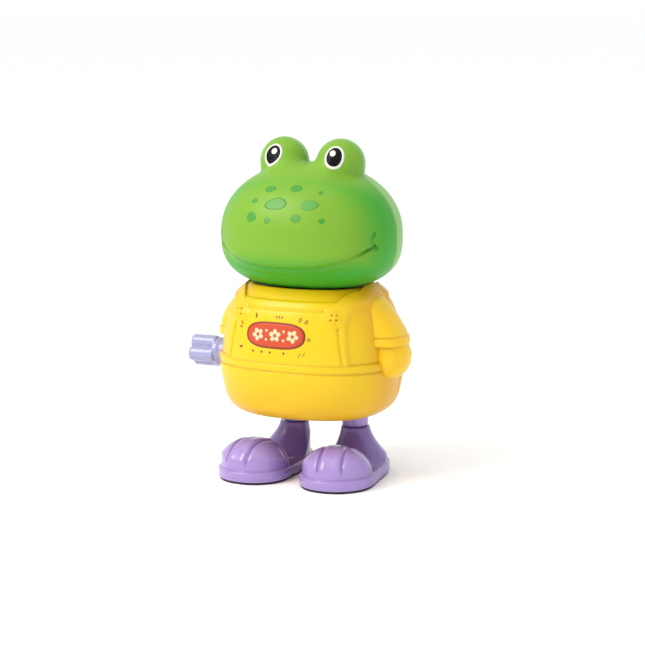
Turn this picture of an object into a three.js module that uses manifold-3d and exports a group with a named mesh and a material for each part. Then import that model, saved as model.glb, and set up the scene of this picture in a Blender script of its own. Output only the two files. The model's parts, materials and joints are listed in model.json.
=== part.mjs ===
// A wind-up walking frog: a moulded plastic figure with a clockwork motor that swings its legs.
// Millimetres, +Z up. The frog faces -Y and its left side is +X. Every size below is in a frame
// whose X = 0 is the figure's middle plane and whose Z = 0 is the surface that it stands on.
// The last lines move the whole figure so that the origin is under the middle of its box.
import * as THREE from "three";
import { mergeVertices } from "three/addons/utils/BufferGeometryUtils.js";
import Module from "manifold-3d";

const wasm = await Module();
wasm.setup();

// ---- fits -------------------------------------------------------------------------------------
const faceGap = 0.3; // between pieces that meet face to face
const pressGap = 0.06; // around a shaft that is pressed into a piece
const runGap = 0.12; // around a shaft that turns in a bore
const shellWall = 1.6; // of the head and the body
const bite = 0.2; // how far two solids that are joined run into each other

// ---- head -------------------------------------------------------------------------------------
const head = {
  halfWidth: 27.3, front: 23, rear: 22.5, planPower: 2.2,
  bottom: 57.2, widest: 73.4, top: 94.4, bottomPower: 3, topPower: 2.2, seamY: 0,
};
const eye = { offset: head.halfWidth / 3, y: 0.6, radius: 7.3, top: head.top + 7.2 };

// ---- body -------------------------------------------------------------------------------------
const body = { halfWidth: 26.8, front: 22, rear: 23.5, planPower: 2.4, bottom: 19.5, top: 58.6, seamY: 4.5 };
// Share of the half width, and share of the height, from the flat underside to the shoulders' rim
// and into the shallow dish that the head sits in.
const bodyProfile = [
  [0.75, 0], [0.885, 0.035], [0.945, 0.12], [0.985, 0.28], [1, 0.43], [0.98, 0.6],
  [0.935, 0.76], [0.87, 0.89], [0.8, 0.965], [0.73, 1], [0.65, 0.985], [0.56, 0.945], [0.4, 0.94],
];
const neck = { radius: 7, bore: 5.2, flangeRadius: 9.2, flangeThickness: 1.5, flangeGap: 1 };
const relief = 0.6; // how far the bib and the belt stand proud
const bib = { halfWidth: 20, bottom: 36.5, top: 55.6 };
const belt = { bottom: 34.6, top: 37 };
const button = { x: 17, z: 51.5, radius: 2.2, proud: 1 };

// ---- arms: each section's drop below the body's top, reach beyond its half width, half width and
// half depth, for the left arm ---------------------------------------------------------------------
const hang = (sections) => sections.map(([drop, beyond, halfX, halfY]) =>
  ({ z: body.top - drop, outer: body.halfWidth + beyond, halfX, halfY }));
const sleeve = hang([
  [2.2, -5.4, 1.8, 2.8], [3.4, -3.2, 4, 5.2], [5.6, -1.5, 5, 6.6], [8.6, 0.7, 5.6, 7.4],
  [12.3, 3, 6, 7.9], [14.2, 4, 6.2, 8.1], [16.6, 4.5, 6.2, 8.1],
]);
const mitten = hang([
  [16.2, 4.2, 5.2, 6.8], [19.6, 5.4, 5.6, 7.4], [22.6, 5.1, 5.4, 7.2], [25, 3.8, 4.6, 6.1], [26.7, 1.8, 2.8, 3.8],
]);
const arm = { y: -1.6, pegRadius: 2, pegZ: body.top - 9.6, pegLength: 3.2 };

// ---- winding knob -------------------------------------------------------------------------------
const knob = {
  outerX: -body.halfWidth - 12.8, innerX: -body.halfWidth - 4.3, hubInnerX: -body.halfWidth + 2.2,
  radius: 5, lobeRadius: 2.3, coreRadius: 3.4, hubRadius: 4, borePast: 7.1, turn: THREE.MathUtils.degToRad(15),
};

// ---- clockwork: axes run along X ----------------------------------------------------------------
const toothModule = 0.6;
const tooth = { addendum: 0.75, dedendum: 1.15, rootShare: 0.26, tipShare: 0.1 }; // in modules and pitches
const teeth = { main: 24, intermediatePinion: 9, intermediateWheel: 22, crankPinion: 10, escapePinion: 8 };
const mainAxis = new THREE.Vector2(0, 35); // (Y, Z)
const crankAxis = new THREE.Vector2(9, 30);
const escapeTurn = THREE.MathUtils.degToRad(-57.69999999999999); // at the intermediate axis, on from the main axis
const palletBearing = THREE.MathUtils.degToRad(172); // from the escape axis
const palletReach = 7.6;
const escape = { teeth: 12, radius: 4.2, rootRadius: 3, gapFrom: 0.35, gapTo: 0.7 }; // gap in pitches
const pallet = {
  clearance: 0.75, halfSpan: THREE.MathUtils.degToRad(48), flare: 1.12, thickness: 1.15, crownThickness: 1.41,
  hubRadius: 1.7,
};
const arborRadius = { main: 1.5, intermediate: 1, crank: 1.2, escape: 0.8, pallet: 0.8 };
const layer = { // X from and to of each layer of the works
  spring: [-5.3, -1.9], main: [-1.5, -0.1], wheel: [0.4, 1.8], escape: [2.5, 4],
};
const spring = { inner: 2.4, outer: 7, turns: 5, pointsPerTurn: 12, thickness: 0.35 };
const gearbox = {
  halfWidth: 6.8, wall: 1.2, front: -10.6, rear: 17.6, bottom: 24.4, top: 51.2, chamfer: 7.2,
  columnRadius: 1.7, pivotBossRadius: 2.4, screwBite: 5, arborGap: 0.2,
};
const mountScrewHeights = { lower: 32, upper: 40.5 }; // the gearbox's screws into the front shell

// ---- cranks and legs ----------------------------------------------------------------------------
const crank = {
  radius: 3.6, thickness: 1, throw: 1.6, pinRadius: 0.9, pinLength: 0.5, axleShare: 0.7, boreShare: 0.75,
};
const legPlate = { innerX: 8.9, thickness: 1.6, halfWidth: 4.2, eyeRadius: 3.4 };
const legPivot = new THREE.Vector2(9, 45); // (Y, Z)
const legPost = { x: 9.7, y: 10.5, radius: 4.05, top: 22.8, ring: 13.6, shankRadius: 3.3, shankEnd: 6.4 };
const legSwing = THREE.MathUtils.degToRad(6);
const legSlotGap = 0.6; // between a leg at the end of its swing and the body's underside

// ---- boots: the outline of the left boot's welt, seen from above --------------------------------
const bootOutline = [
  [13, -23.4], [20.8, -20.6], [24.6, -13.5], [23.6, -3], [22, 8], [18, 15.4],
  [12.4, 17.6], [6.6, 15.4], [3.2, 8], [2.8, -3], [2, -13.5], [5.2, -20.6],
];
const boot = {
  centreX: 12.8, centreY: -3, wall: 1.5, bottom: 0.9, weltTop: 3.7, weltProud: 1.2, top: 12, domePower: 2.6,
  ankleTop: 13.3, ankleRadius: 4.5, ankleFlare: 6.2, ankleWaist: 10, ankleEdge: 0.4,
  bossRadius: 5, webBottom: 4, soleTop: 0.6, soleInset: 0.5, segments: 24, levels: 6,
};

// ---- screws -------------------------------------------------------------------------------------
const screw = {
  shankRadius: 0.9, headRadius: 2, headHeight: 1.4, slotWidth: 0.5, slotReach: 1.2, slotDepth: 0.5, inHead: 0.3,
};
const screwHole = screw.shankRadius + 0.3;
const pilotHole = screw.shankRadius + pressGap;
const bodyScrew = { upperX: 16.5, upperZ: 49, lowerX: 17, lowerZ: 28.5, seat: 4, bite: 8, bossRadius: 3.1 };
const counterbore = screw.headRadius + 0.4;
const pivotScrewRadius = 1.2;
const pivotHeadRadius = 2.4;

// ---- finishes -------------------------------------------------------------------------------------
const finishes = {
  greenPlastic: { color: 0x6fc043, roughness: 0.5, metalness: 0 },
  yellowPlastic: { color: 0xffd63a, roughness: 0.42, metalness: 0 },
  purplePlastic: { color: 0x8a6cbf, roughness: 0.25, metalness: 0 },
  lavenderPlastic: { color: 0xaaa2dc, roughness: 0.3, metalness: 0 },
  solePlastic: { color: 0x16181c, roughness: 0.6, metalness: 0 },
  naturalPlastic: { color: 0xe8e4d8, roughness: 0.45, metalness: 0 },
  steel: { color: 0xb4b8bc, roughness: 0.35, metalness: 1 },
};

const figure = new THREE.Group();
const far = 200; // longer than the whole figure

// ---- solids ---------------------------------------------------------------------------------------
// A closed geometry as a solid. Triangles that a pole has closed to a line are left out.
function toSolid(geometry) {
  const bare = geometry.clone();
  bare.deleteAttribute("normal");
  bare.deleteAttribute("uv");
  const merged = mergeVertices(bare, 1e-4);
  const index = merged.index.array;
  const triangles = [];
  for (let i = 0; i < index.length; i += 3) {
    const [a, b, c] = [index[i], index[i + 1], index[i + 2]];
    if (a !== b && b !== c && c !== a) triangles.push(a, b, c);
  }
  const vertProperties = new Float32Array(merged.attributes.position.array);
  return new wasm.Manifold(new wasm.Mesh({ numProp: 3, vertProperties, triVerts: new Uint32Array(triangles) }));
}

function toGeometry(solid) {
  const mesh = solid.getMesh();
  const geometry = new THREE.BufferGeometry();
  geometry.setAttribute("position", new THREE.BufferAttribute(mesh.vertProperties, mesh.numProp));
  geometry.setIndex(new THREE.BufferAttribute(mesh.triVerts, 1));
  geometry.computeVertexNormals();
  return geometry;
}

function addPiece(name, solid, finish) {
  const piece = new THREE.Mesh(toGeometry(solid), new THREE.MeshStandardMaterial(finishes[finish]));
  piece.name = name;
  figure.add(piece);
}

function join(solids) {
  return solids.reduce((whole, solid) => whole.add(solid));
}

function cut(solid, tools) {
  return tools.reduce((left, tool) => left.subtract(tool), solid);
}

function block(x0, x1, y0, y1, z0, z1) {
  const geometry = new THREE.BoxGeometry(x1 - x0, y1 - y0, z1 - z0);
  return toSolid(geometry.translate((x0 + x1) / 2, (y0 + y1) / 2, (z0 + z1) / 2));
}

// The same stretch of X on the left side, or mirrored on the right.
function onSide(side, x0, x1) {
  return side > 0 ? [x0, x1] : [-x1, -x0];
}

function rodX(radius, x0, x1, axis, sides = 16) {
  const geometry = new THREE.CylinderGeometry(radius, radius, x1 - x0, sides);
  return toSolid(geometry.rotateZ(Math.PI / 2).translate((x0 + x1) / 2, axis.x, axis.y));
}

function rodY(radius, y0, y1, x, z, sides = 12) {
  const geometry = new THREE.CylinderGeometry(radius, radius, y1 - y0, sides);
  return toSolid(geometry.translate(x, (y0 + y1) / 2, z));
}

function rodZ(radius, z0, z1, x, y, sides = 20) {
  const geometry = new THREE.CylinderGeometry(radius, radius, z1 - z0, sides);
  return toSolid(geometry.rotateX(Math.PI / 2).translate(x, y, (z0 + z1) / 2));
}

// A flat outline in the Y-Z plane, given thickness along X.
function plateX(shape, x0, x1, curveSegments = 12) {
  const geometry = new THREE.ExtrudeGeometry(shape, { depth: x1 - x0, bevelEnabled: false, curveSegments });
  const basis = new THREE.Matrix4().makeBasis(
    new THREE.Vector3(0, 1, 0), new THREE.Vector3(0, 0, 1), new THREE.Vector3(1, 0, 0));
  return toSolid(geometry.applyMatrix4(basis).translate(x0, 0, 0));
}

// A closed skin over rings of points, each ring anticlockwise from above and above the one before.
function loft(rings) {
  const count = rings[0].length;
  const middle = (ring) => ring.reduce((sum, p) => sum.add(p), new THREE.Vector3()).divideScalar(count);
  const points = [...rings.flat(), middle(rings[0]), middle(rings[rings.length - 1])];
  const bottom = rings.length * count;
  const index = [];
  for (let i = 0; i < count; i += 1) {
    const next = (i + 1) % count;
    const last = (rings.length - 1) * count;
    index.push(bottom, next, i, bottom + 1, last + i, last + next);
    for (let ring = 0; ring < rings.length - 1; ring += 1) {
      const low = ring * count;
      const high = low + count;
      index.push(low + i, low + next, high + next, low + i, high + next, high + i);
    }
  }
  const geometry = new THREE.BufferGeometry().setFromPoints(points);
  geometry.setIndex(index);
  return toSolid(geometry);
}

// One level outline: a superellipse with its own depth in front and behind.
function levelRing(form, reach, z, grow, segments) {
  const ring = [];
  for (let i = 0; i < segments; i += 1) {
    const angle = (i / segments) * 2 * Math.PI;
    const [c, s] = [Math.cos(angle), Math.sin(angle)];
    const depth = (s < 0 ? form.front : form.rear) + grow;
    const round = 2 / form.planPower;
    const x = (form.halfWidth + grow) * reach * Math.sign(c) * Math.abs(c) ** round;
    ring.push(new THREE.Vector3(x, depth * reach * Math.sign(s) * Math.abs(s) ** round, z));
  }
  return ring;
}

// ---- head -------------------------------------------------------------------------------------------
function headForm(grow, segments, levels) {
  const rings = [];
  for (let i = 1; i < levels; i += 1) {
    const angle = ((i / levels) - 0.5) * Math.PI;
    const upper = angle > 0;
    const round = 2 / (upper ? head.topPower : head.bottomPower);
    const height = (upper ? head.top - head.widest : head.widest - head.bottom) + grow;
    const z = head.widest + Math.sign(angle) * height * Math.abs(Math.sin(angle)) ** round;
    rings.push(levelRing(head, Math.cos(angle) ** round, z, grow, segments));
  }
  const bumps = [-1, 1].map((side) => {
    const ball = new THREE.SphereGeometry(eye.radius + grow, segments / 2, levels - 2).rotateX(Math.PI / 2);
    return toSolid(ball.translate(side * eye.offset, eye.y, eye.top - eye.radius));
  });
  return join([loft(rings), ...bumps]);
}

function buildHead() {
  const opening = rodZ(neck.radius + faceGap, head.bottom - 1, head.bottom + 2 * shellWall, 0, 0);
  const shell = headForm(0, 28, 14).subtract(headForm(-shellWall, 16, 12)).subtract(opening);
  const front = block(-far, far, -far, head.seamY - faceGap / 2, 0, far);
  const rear = block(-far, far, head.seamY + faceGap / 2, far, 0, far);
  addPiece("head_front_shell", shell.intersect(front), "greenPlastic");
  addPiece("head_rear_shell", shell.intersect(rear), "greenPlastic");
}

// ---- body ---------------------------------------------------------------------------------------------
function bodyForm(grow, segments = 28, levels = 12) {
  const profile = new THREE.SplineCurve(bodyProfile.map(([reach, rise]) => new THREE.Vector2(reach, rise)));
  const rings = profile.getPoints(levels).map((point) => {
    const z = body.bottom - grow + point.y * (body.top - body.bottom + 2 * grow);
    return levelRing(body, point.x, z, grow, segments);
  });
  return loft(rings);
}

function neckSolid() {
  const flangeBottom = head.bottom + shellWall + neck.flangeGap;
  const flangeTop = flangeBottom + neck.flangeThickness;
  const tube = rodZ(neck.radius, body.top - 3 * shellWall, flangeTop, 0, 0);
  const flange = rodZ(neck.flangeRadius, flangeBottom, flangeTop, 0, 0);
  return tube.add(flange);
}

// The bib, its buttons and the belt, all proud of the body and moulded with it.
function clothesRelief() {
  const proud = bodyForm(relief);
  const bibPanel = proud.intersect(block(-bib.halfWidth, bib.halfWidth, -far, 0, bib.bottom, bib.top));
  const beltBand = proud.intersect(block(-far, far, -far, far, belt.bottom, belt.top));
  const nearBib = bodyForm(relief + button.proud);
  const buttons = [-1, 1].map((side) =>
    rodY(button.radius, -far, 0, side * button.x, button.z, 16).intersect(nearBib));
  return join([bibPanel, beltBand, ...buttons]);
}

// The slot in the underside that a leg swings in.
function legSlot(side) {
  const travel = (legPivot.y - body.bottom) * Math.sin(legSwing);
  const halfLength = legPost.radius + travel + legSlotGap;
  const halfWidth = legPost.radius + legSlotGap;
  return block(side * legPost.x - halfWidth, side * legPost.x + halfWidth, legPost.y - halfLength,
    legPost.y + halfLength, body.bottom - 1, legPost.top + legSlotGap);
}

const bodyScrews = [
  { name: "body_screw_upper_left", x: bodyScrew.upperX, z: bodyScrew.upperZ },
  { name: "body_screw_upper_right", x: -bodyScrew.upperX, z: bodyScrew.upperZ },
  { name: "body_screw_lower_left", x: bodyScrew.lowerX, z: bodyScrew.lowerZ },
  { name: "body_screw_lower_right", x: -bodyScrew.lowerX, z: bodyScrew.lowerZ },
];

function buildBody() {
  const outer = bodyForm(0);
  const inner = bodyForm(-shellWall, 20, 8);
  const skin = join([outer, neckSolid(), clothesRelief()]);
  const neckBore = rodZ(neck.bore, body.top - 4 * shellWall, head.top, 0, 0);
  const knobHole = rodX(knob.hubRadius + faceGap, -far, -body.halfWidth / 2, mainAxis, 24);
  const pegHoles = [-1, 1].map((side) => armPeg(side, faceGap));
  const bosses = bodyScrews.map(({ x, z }) => rodY(bodyScrew.bossRadius, -far, far, x, z).intersect(outer));
  const posts = Object.values(mountScrewHeights).map((z) =>
    rodY(bodyScrew.bossRadius, -far, gearbox.front - faceGap, 0, z).intersect(outer));
  const hollow = cut(skin, [inner, neckBore, knobHole, ...pegHoles, legSlot(1), legSlot(-1)]);
  const whole = join([hollow, ...bosses, ...posts]);
  const front = block(-far, far, -far, body.seamY - faceGap / 2, 0, far);
  const rear = block(-far, far, body.seamY + faceGap / 2, far, 0, far);
  const seat = body.seamY + bodyScrew.seat;
  const pilots = bodyScrews.map(({ x, z }) =>
    rodY(pilotHole, body.seamY - bodyScrew.bite - 1, body.seamY + 1, x, z, 12));
  const mountPilots = Object.values(mountScrewHeights).map((z) =>
    rodY(pilotHole, gearbox.front - bodyScrew.bite, gearbox.front, 0, z, 12));
  const throughHoles = bodyScrews.map(({ x, z }) => rodY(screwHole, body.seamY - 1, far, x, z, 12));
  const counterbores = bodyScrews.map(({ x, z }) => rodY(counterbore, seat, far, x, z, 16));
  addPiece("body_front_shell", cut(whole.intersect(front), [...pilots, ...mountPilots]), "yellowPlastic");
  addPiece("body_rear_shell", cut(whole.intersect(rear), [...throughHoles, ...counterbores]), "yellowPlastic");
  for (const { name, x, z } of bodyScrews) {
    addPiece(name, screwAlongY(x, z, seat + pressGap, seat + pressGap - body.seamY + bodyScrew.bite - 1), "steel");
  }
}

// A screw whose head sits on the face Y = seat and whose shank runs towards the front.
function screwAlongY(x, z, seat, length) {
  const shank = rodY(screw.shankRadius, seat - length, seat + screw.headHeight / 2, x, z, 12);
  const top = rodY(screw.headRadius, seat, seat + screw.headHeight, x, z);
  const outside = seat + screw.headHeight;
  const half = screw.slotWidth / 2;
  const reach = screw.slotReach;
  const slots = [block(x - half, x + half, outside - screw.slotDepth, outside + 1, z - reach, z + reach),
    block(x - reach, x + reach, outside - screw.slotDepth, outside + 1, z - half, z + half)];
  return cut(shank.add(top), slots);
}

// ---- arms -----------------------------------------------------------------------------------------------
function armPeg(side, grow) {
  const stretch = onSide(side, body.halfWidth - shellWall - arm.pegLength, body.halfWidth + 1);
  return rodX(arm.pegRadius + grow, ...stretch, new THREE.Vector2(arm.y, arm.pegZ));
}

function limb(sections, side) {
  const segments = 18;
  const rings = sections.slice().sort((a, b) => a.z - b.z).map(({ z, outer, halfX, halfY }) => {
    const ring = [];
    for (let i = 0; i < segments; i += 1) {
      const angle = (i / segments) * 2 * Math.PI;
      const x = side * (outer - halfX) + halfX * Math.cos(angle);
      ring.push(new THREE.Vector3(x, arm.y + halfY * Math.sin(angle), z));
    }
    return ring;
  });
  return loft(rings);
}

function buildArms() {
  const besideBelt = bodyForm(relief + faceGap)
    .intersect(block(-far, far, -far, far, belt.bottom - faceGap, belt.top + faceGap));
  const besideBody = bodyForm(faceGap).add(besideBelt);
  const left = join([limb(sleeve, 1), limb(mitten, 1)]).subtract(besideBody).add(armPeg(1, 0));
  const right = limb(sleeve, -1).subtract(besideBody).add(armPeg(-1, 0));
  addPiece("left_arm", left, "yellowPlastic");
  addPiece("right_arm", right, "yellowPlastic");
}

// ---- winding knob -----------------------------------------------------------------------------------------
function buildKnob() {
  const lobeDistance = knob.radius - knob.lobeRadius;
  const lobes = [0, 1, 2, 3].map((quarter) => {
    const angle = knob.turn + (quarter * Math.PI) / 2;
    const axis = new THREE.Vector2(Math.cos(angle), Math.sin(angle)).multiplyScalar(lobeDistance).add(mainAxis);
    return rodX(knob.lobeRadius, knob.outerX, knob.innerX, axis, 20);
  });
  const core = rodX(knob.coreRadius, knob.outerX, knob.innerX, mainAxis);
  const hub = rodX(knob.hubRadius, knob.innerX - bite, knob.hubInnerX, mainAxis, 24);
  const bore = rodX(arborRadius.main + pressGap, knob.outerX + knob.borePast, far, mainAxis);
  addPiece("winding_knob", cut(join([core, hub, ...lobes]), [bore]), "lavenderPlastic");
}

// ---- gears ------------------------------------------------------------------------------------------------
const pitchRadius = (count) => (count * toothModule) / 2;
const gearOuter = (count) => pitchRadius(count) + tooth.addendum * toothModule;
const gearRoot = (count) => pitchRadius(count) - tooth.dedendum * toothModule;

function axisAt(from, bearing, distance) {
  return new THREE.Vector2(Math.cos(bearing), Math.sin(bearing)).multiplyScalar(distance).add(from);
}

const reachToMain = pitchRadius(teeth.main) + pitchRadius(teeth.intermediatePinion);
const reachToCrank = pitchRadius(teeth.intermediateWheel) + pitchRadius(teeth.crankPinion);
const reachToEscape = pitchRadius(teeth.intermediateWheel) + pitchRadius(teeth.escapePinion);

// The intermediate axis stands above the line from the main axis to the crank axis, in mesh with both.
function intermediateFromMeshes() {
  const along = crankAxis.clone().sub(mainAxis);
  const span = along.length();
  const share = (reachToMain ** 2 - reachToCrank ** 2 + span ** 2) / (2 * span);
  const rise = Math.sqrt(reachToMain ** 2 - share ** 2);
  const unit = along.divideScalar(span);
  return new THREE.Vector2(unit.x * share - unit.y * rise, unit.y * share + unit.x * rise).add(mainAxis);
}
const intermediateAxis = intermediateFromMeshes();
const bearingOfMain = Math.atan2(mainAxis.y - intermediateAxis.y, mainAxis.x - intermediateAxis.x);
const escapeAxis = axisAt(intermediateAxis, bearingOfMain + escapeTurn, reachToEscape);
const palletAxis = axisAt(escapeAxis, palletBearing, palletReach);

// The turn that puts a gear's gap where the other gear's tooth points.
function meshPhase(from, fromCount, fromPhase, to, toCount) {
  const bearing = Math.atan2(to.y - from.y, to.x - from.x);
  const share = ((fromPhase - bearing) * fromCount) / (2 * Math.PI);
  return bearing + Math.PI + ((0.5 - share) * 2 * Math.PI) / toCount;
}

function gearSolid(count, phase, axis, [x0, x1]) {
  const pitch = (2 * Math.PI) / count;
  const [root, outside] = [gearRoot(count), gearOuter(count)];
  const { rootShare, tipShare } = tooth;
  const corners = [[-rootShare, root], [-tipShare, outside], [tipShare, outside], [rootShare, root]];
  const points = [];
  for (let i = 0; i < count; i += 1) {
    for (const [share, radius] of corners) points.push(axisAt(axis, phase + (i + share) * pitch, radius));
  }
  return plateX(new THREE.Shape(points), x0, x1);
}

function bored(solid, radius, axis) {
  return solid.subtract(rodX(radius + pressGap, -far, far, axis));
}

function escapeWheelSolid() {
  const pitch = (2 * Math.PI) / escape.teeth;
  const points = [];
  for (let i = 0; i < escape.teeth; i += 1) {
    points.push(axisAt(escapeAxis, i * pitch, escape.radius));
    points.push(axisAt(escapeAxis, (i + escape.gapFrom) * pitch, escape.rootRadius));
    points.push(axisAt(escapeAxis, (i + escape.gapTo) * pitch, escape.rootRadius));
  }
  return plateX(new THREE.Shape(points), ...layer.escape);
}

// An anchor whose two tips stand just clear of the escape wheel's teeth.
function palletSolid() {
  const near = escape.radius + pallet.clearance;
  const steps = [-1, -0.5, 0, 0.5, 1];
  const inner = steps.map((share) => axisAt(escapeAxis, palletBearing + share * pallet.halfSpan, near));
  const outer = steps.map((share) => {
    const reach = near + (share === 0 ? pallet.crownThickness : pallet.thickness);
    return axisAt(escapeAxis, palletBearing + share * pallet.halfSpan * pallet.flare, reach);
  });
  const anchor = plateX(new THREE.Shape([...inner, ...outer.reverse()]), ...layer.escape);
  const hub = rodX(pallet.hubRadius, ...layer.escape, palletAxis, 16);
  return anchor.add(hub);
}

function springSolid() {
  const count = spring.turns * spring.pointsPerTurn;
  const half = spring.thickness / 2;
  const [outerSide, innerSide] = [[], []];
  for (let i = 0; i <= count; i += 1) {
    const angle = (i / spring.pointsPerTurn) * 2 * Math.PI;
    const radius = spring.inner + ((spring.outer - spring.inner) * i) / count;
    outerSide.push(axisAt(mainAxis, angle, radius + half));
    innerSide.push(axisAt(mainAxis, angle, radius - half));
  }
  return plateX(new THREE.Shape([...outerSide, ...innerSide.reverse()]), ...layer.spring);
}

function buildWorks() {
  const mainPhase = 0;
  const pinionPhase = meshPhase(mainAxis, teeth.main, mainPhase, intermediateAxis, teeth.intermediatePinion);
  const crankPhase = meshPhase(intermediateAxis, teeth.intermediateWheel, 0, crankAxis, teeth.crankPinion);
  const escapePhase = meshPhase(intermediateAxis, teeth.intermediateWheel, 0, escapeAxis, teeth.escapePinion);
  const endX = gearbox.halfWidth - gearbox.arborGap;
  const crankEndX = gearbox.halfWidth + faceGap + crank.thickness * crank.axleShare;
  const mainGear = gearSolid(teeth.main, mainPhase, mainAxis, layer.main);
  const windingStart = knob.outerX + knob.borePast + faceGap;
  addPiece("winding_arbor", rodX(arborRadius.main, windingStart, endX, mainAxis), "steel");
  addPiece("main_gear", bored(mainGear, arborRadius.main, mainAxis), "naturalPlastic");
  addPiece("mainspring", springSolid(), "steel");

  const pinionLayer = [layer.main[0], layer.wheel[0] + bite];
  const pinion = gearSolid(teeth.intermediatePinion, pinionPhase, intermediateAxis, pinionLayer);
  const wheel = gearSolid(teeth.intermediateWheel, 0, intermediateAxis, layer.wheel);
  const doubleGear = bored(pinion.add(wheel), arborRadius.intermediate, intermediateAxis);
  addPiece("intermediate_gear", doubleGear, "naturalPlastic");
  addPiece("intermediate_arbor", rodX(arborRadius.intermediate, -endX, endX, intermediateAxis), "steel");

  const crankPinion = gearSolid(teeth.crankPinion, crankPhase, crankAxis, layer.wheel);
  addPiece("crank_pinion", bored(crankPinion, arborRadius.crank, crankAxis), "naturalPlastic");
  addPiece("crank_axle", rodX(arborRadius.crank, -crankEndX, crankEndX, crankAxis), "steel");

  const escapePinionLayer = [layer.wheel[0], layer.escape[0] + bite];
  const escapePinion = gearSolid(teeth.escapePinion, escapePhase, escapeAxis, escapePinionLayer);
  const escapeWheel = bored(escapePinion.add(escapeWheelSolid()), arborRadius.escape, escapeAxis);
  addPiece("escape_wheel", escapeWheel, "naturalPlastic");
  addPiece("escape_arbor", rodX(arborRadius.escape, -endX, endX, escapeAxis, 16), "steel");
  addPiece("pallet", bored(palletSolid(), arborRadius.pallet, palletAxis), "naturalPlastic");
  addPiece("pallet_arbor", rodX(arborRadius.pallet, -endX, endX, palletAxis, 16), "steel");
}

// ---- gearbox ------------------------------------------------------------------------------------------------
function gearboxOutline(inset) {
  const { front, rear, bottom, top } = gearbox;
  const chamfer = gearbox.chamfer - inset * (2 - Math.SQRT2);
  return new THREE.Shape([
    new THREE.Vector2(front + inset, bottom + inset), new THREE.Vector2(rear - inset, bottom + inset),
    new THREE.Vector2(rear - inset, top - inset - chamfer), new THREE.Vector2(rear - inset - chamfer, top - inset),
    new THREE.Vector2(front + inset, top - inset),
  ]);
}

function bearingBores() {
  return [[mainAxis, arborRadius.main], [intermediateAxis, arborRadius.intermediate],
    [crankAxis, arborRadius.crank], [escapeAxis, arborRadius.escape], [palletAxis, arborRadius.pallet]]
    .map(([axis, radius]) => rodX(radius + runGap, -far, far, axis));
}

// A post on one side of the gearbox that carries a leg's pivot screw.
function pivotBoss(side) {
  const stretch = onSide(side, gearbox.halfWidth - gearbox.wall, legPlate.innerX - faceGap);
  return rodX(gearbox.pivotBossRadius, ...stretch, legPivot);
}

const gearboxScrews = [
  { name: "gearbox_screw_front", axis: new THREE.Vector2(-7.4, 27.6) },
  { name: "gearbox_screw_rear", axis: new THREE.Vector2(14.4, 27.6) },
  { name: "gearbox_screw_top", axis: new THREE.Vector2(-7.2, 49) },
];

function buildGearbox() {
  const coverInside = gearbox.halfWidth - gearbox.wall;
  const rim = coverInside - faceGap;
  const pivotBore = rodX(pivotScrewRadius + pressGap, -far, far, legPivot, 16);
  const columns = gearboxScrews.map(({ axis }) => rodX(gearbox.columnRadius, -coverInside, rim, axis, 12));
  const box = plateX(gearboxOutline(0), -gearbox.halfWidth, rim);
  const cavity = plateX(gearboxOutline(gearbox.wall), -coverInside, far);
  const pilots = gearboxScrews.map(({ axis }) => rodX(pilotHole, rim - gearbox.screwBite - 1, far, axis, 12));
  const mountHoles = Object.values(mountScrewHeights).map((z) => rodY(screwHole, -far, 0, 0, z, 12));
  const walls = join([box.subtract(cavity), pivotBoss(-1), ...columns]);
  addPiece("gearbox_case", cut(walls, [pivotBore, ...pilots, ...mountHoles, ...bearingBores()]), "naturalPlastic");
  const plate = plateX(gearboxOutline(0), coverInside, gearbox.halfWidth).add(pivotBoss(1));
  const holes = gearboxScrews.map(({ axis }) => rodX(screwHole, 0, far, axis, 12));
  addPiece("gearbox_cover", cut(plate, [pivotBore, ...holes, ...bearingBores()]), "naturalPlastic");
  for (const { name, axis } of gearboxScrews) {
    const outside = gearbox.halfWidth;
    const shank = rodX(screw.shankRadius, rim - gearbox.screwBite, outside + screw.inHead, axis, 12);
    const top = rodX(screw.headRadius, outside + pressGap, outside + screw.headHeight, axis, 16);
    addPiece(name, shank.add(top), "steel");
  }
  for (const [place, z] of Object.entries(mountScrewHeights)) {
    const seat = gearbox.front + gearbox.wall + pressGap;
    addPiece(`gearbox_mount_screw_${place}`, screwAlongY(0, z, seat, bodyScrew.bite), "steel");
  }
}

// ---- cranks -------------------------------------------------------------------------------------------------
// The left crank's pin is at the top of its circle and the right one's at the bottom.
function buildCranks() {
  for (const side of [1, -1]) {
    const inside = gearbox.halfWidth + faceGap;
    const face = inside + crank.thickness;
    const pinAxis = new THREE.Vector2(crankAxis.x, crankAxis.y + side * crank.throw);
    const disc = rodX(crank.radius, ...onSide(side, inside, face), crankAxis, 24);
    const pin = rodX(crank.pinRadius, ...onSide(side, face - bite, face + crank.pinLength), pinAxis, 12);
    const boreEnd = inside + crank.thickness * crank.boreShare;
    const bore = rodX(arborRadius.crank + pressGap, ...onSide(side, inside - 1, boreEnd), crankAxis);
    addPiece(side > 0 ? "left_crank" : "right_crank", disc.add(pin).subtract(bore), "naturalPlastic");
  }
}

// ---- legs ---------------------------------------------------------------------------------------------------
function legOutline() {
  const low = legPost.top - 1;
  const shape = new THREE.Shape();
  shape.moveTo(legPost.y - legPost.radius, low);
  shape.lineTo(legPost.y + legPost.radius, low);
  shape.lineTo(crankAxis.x + legPlate.halfWidth, crankAxis.y);
  shape.lineTo(legPivot.x + legPlate.eyeRadius, legPivot.y);
  shape.absarc(legPivot.x, legPivot.y, legPlate.eyeRadius, 0, Math.PI, false);
  shape.lineTo(crankAxis.x - legPlate.halfWidth, crankAxis.y);
  return shape;
}

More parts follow.
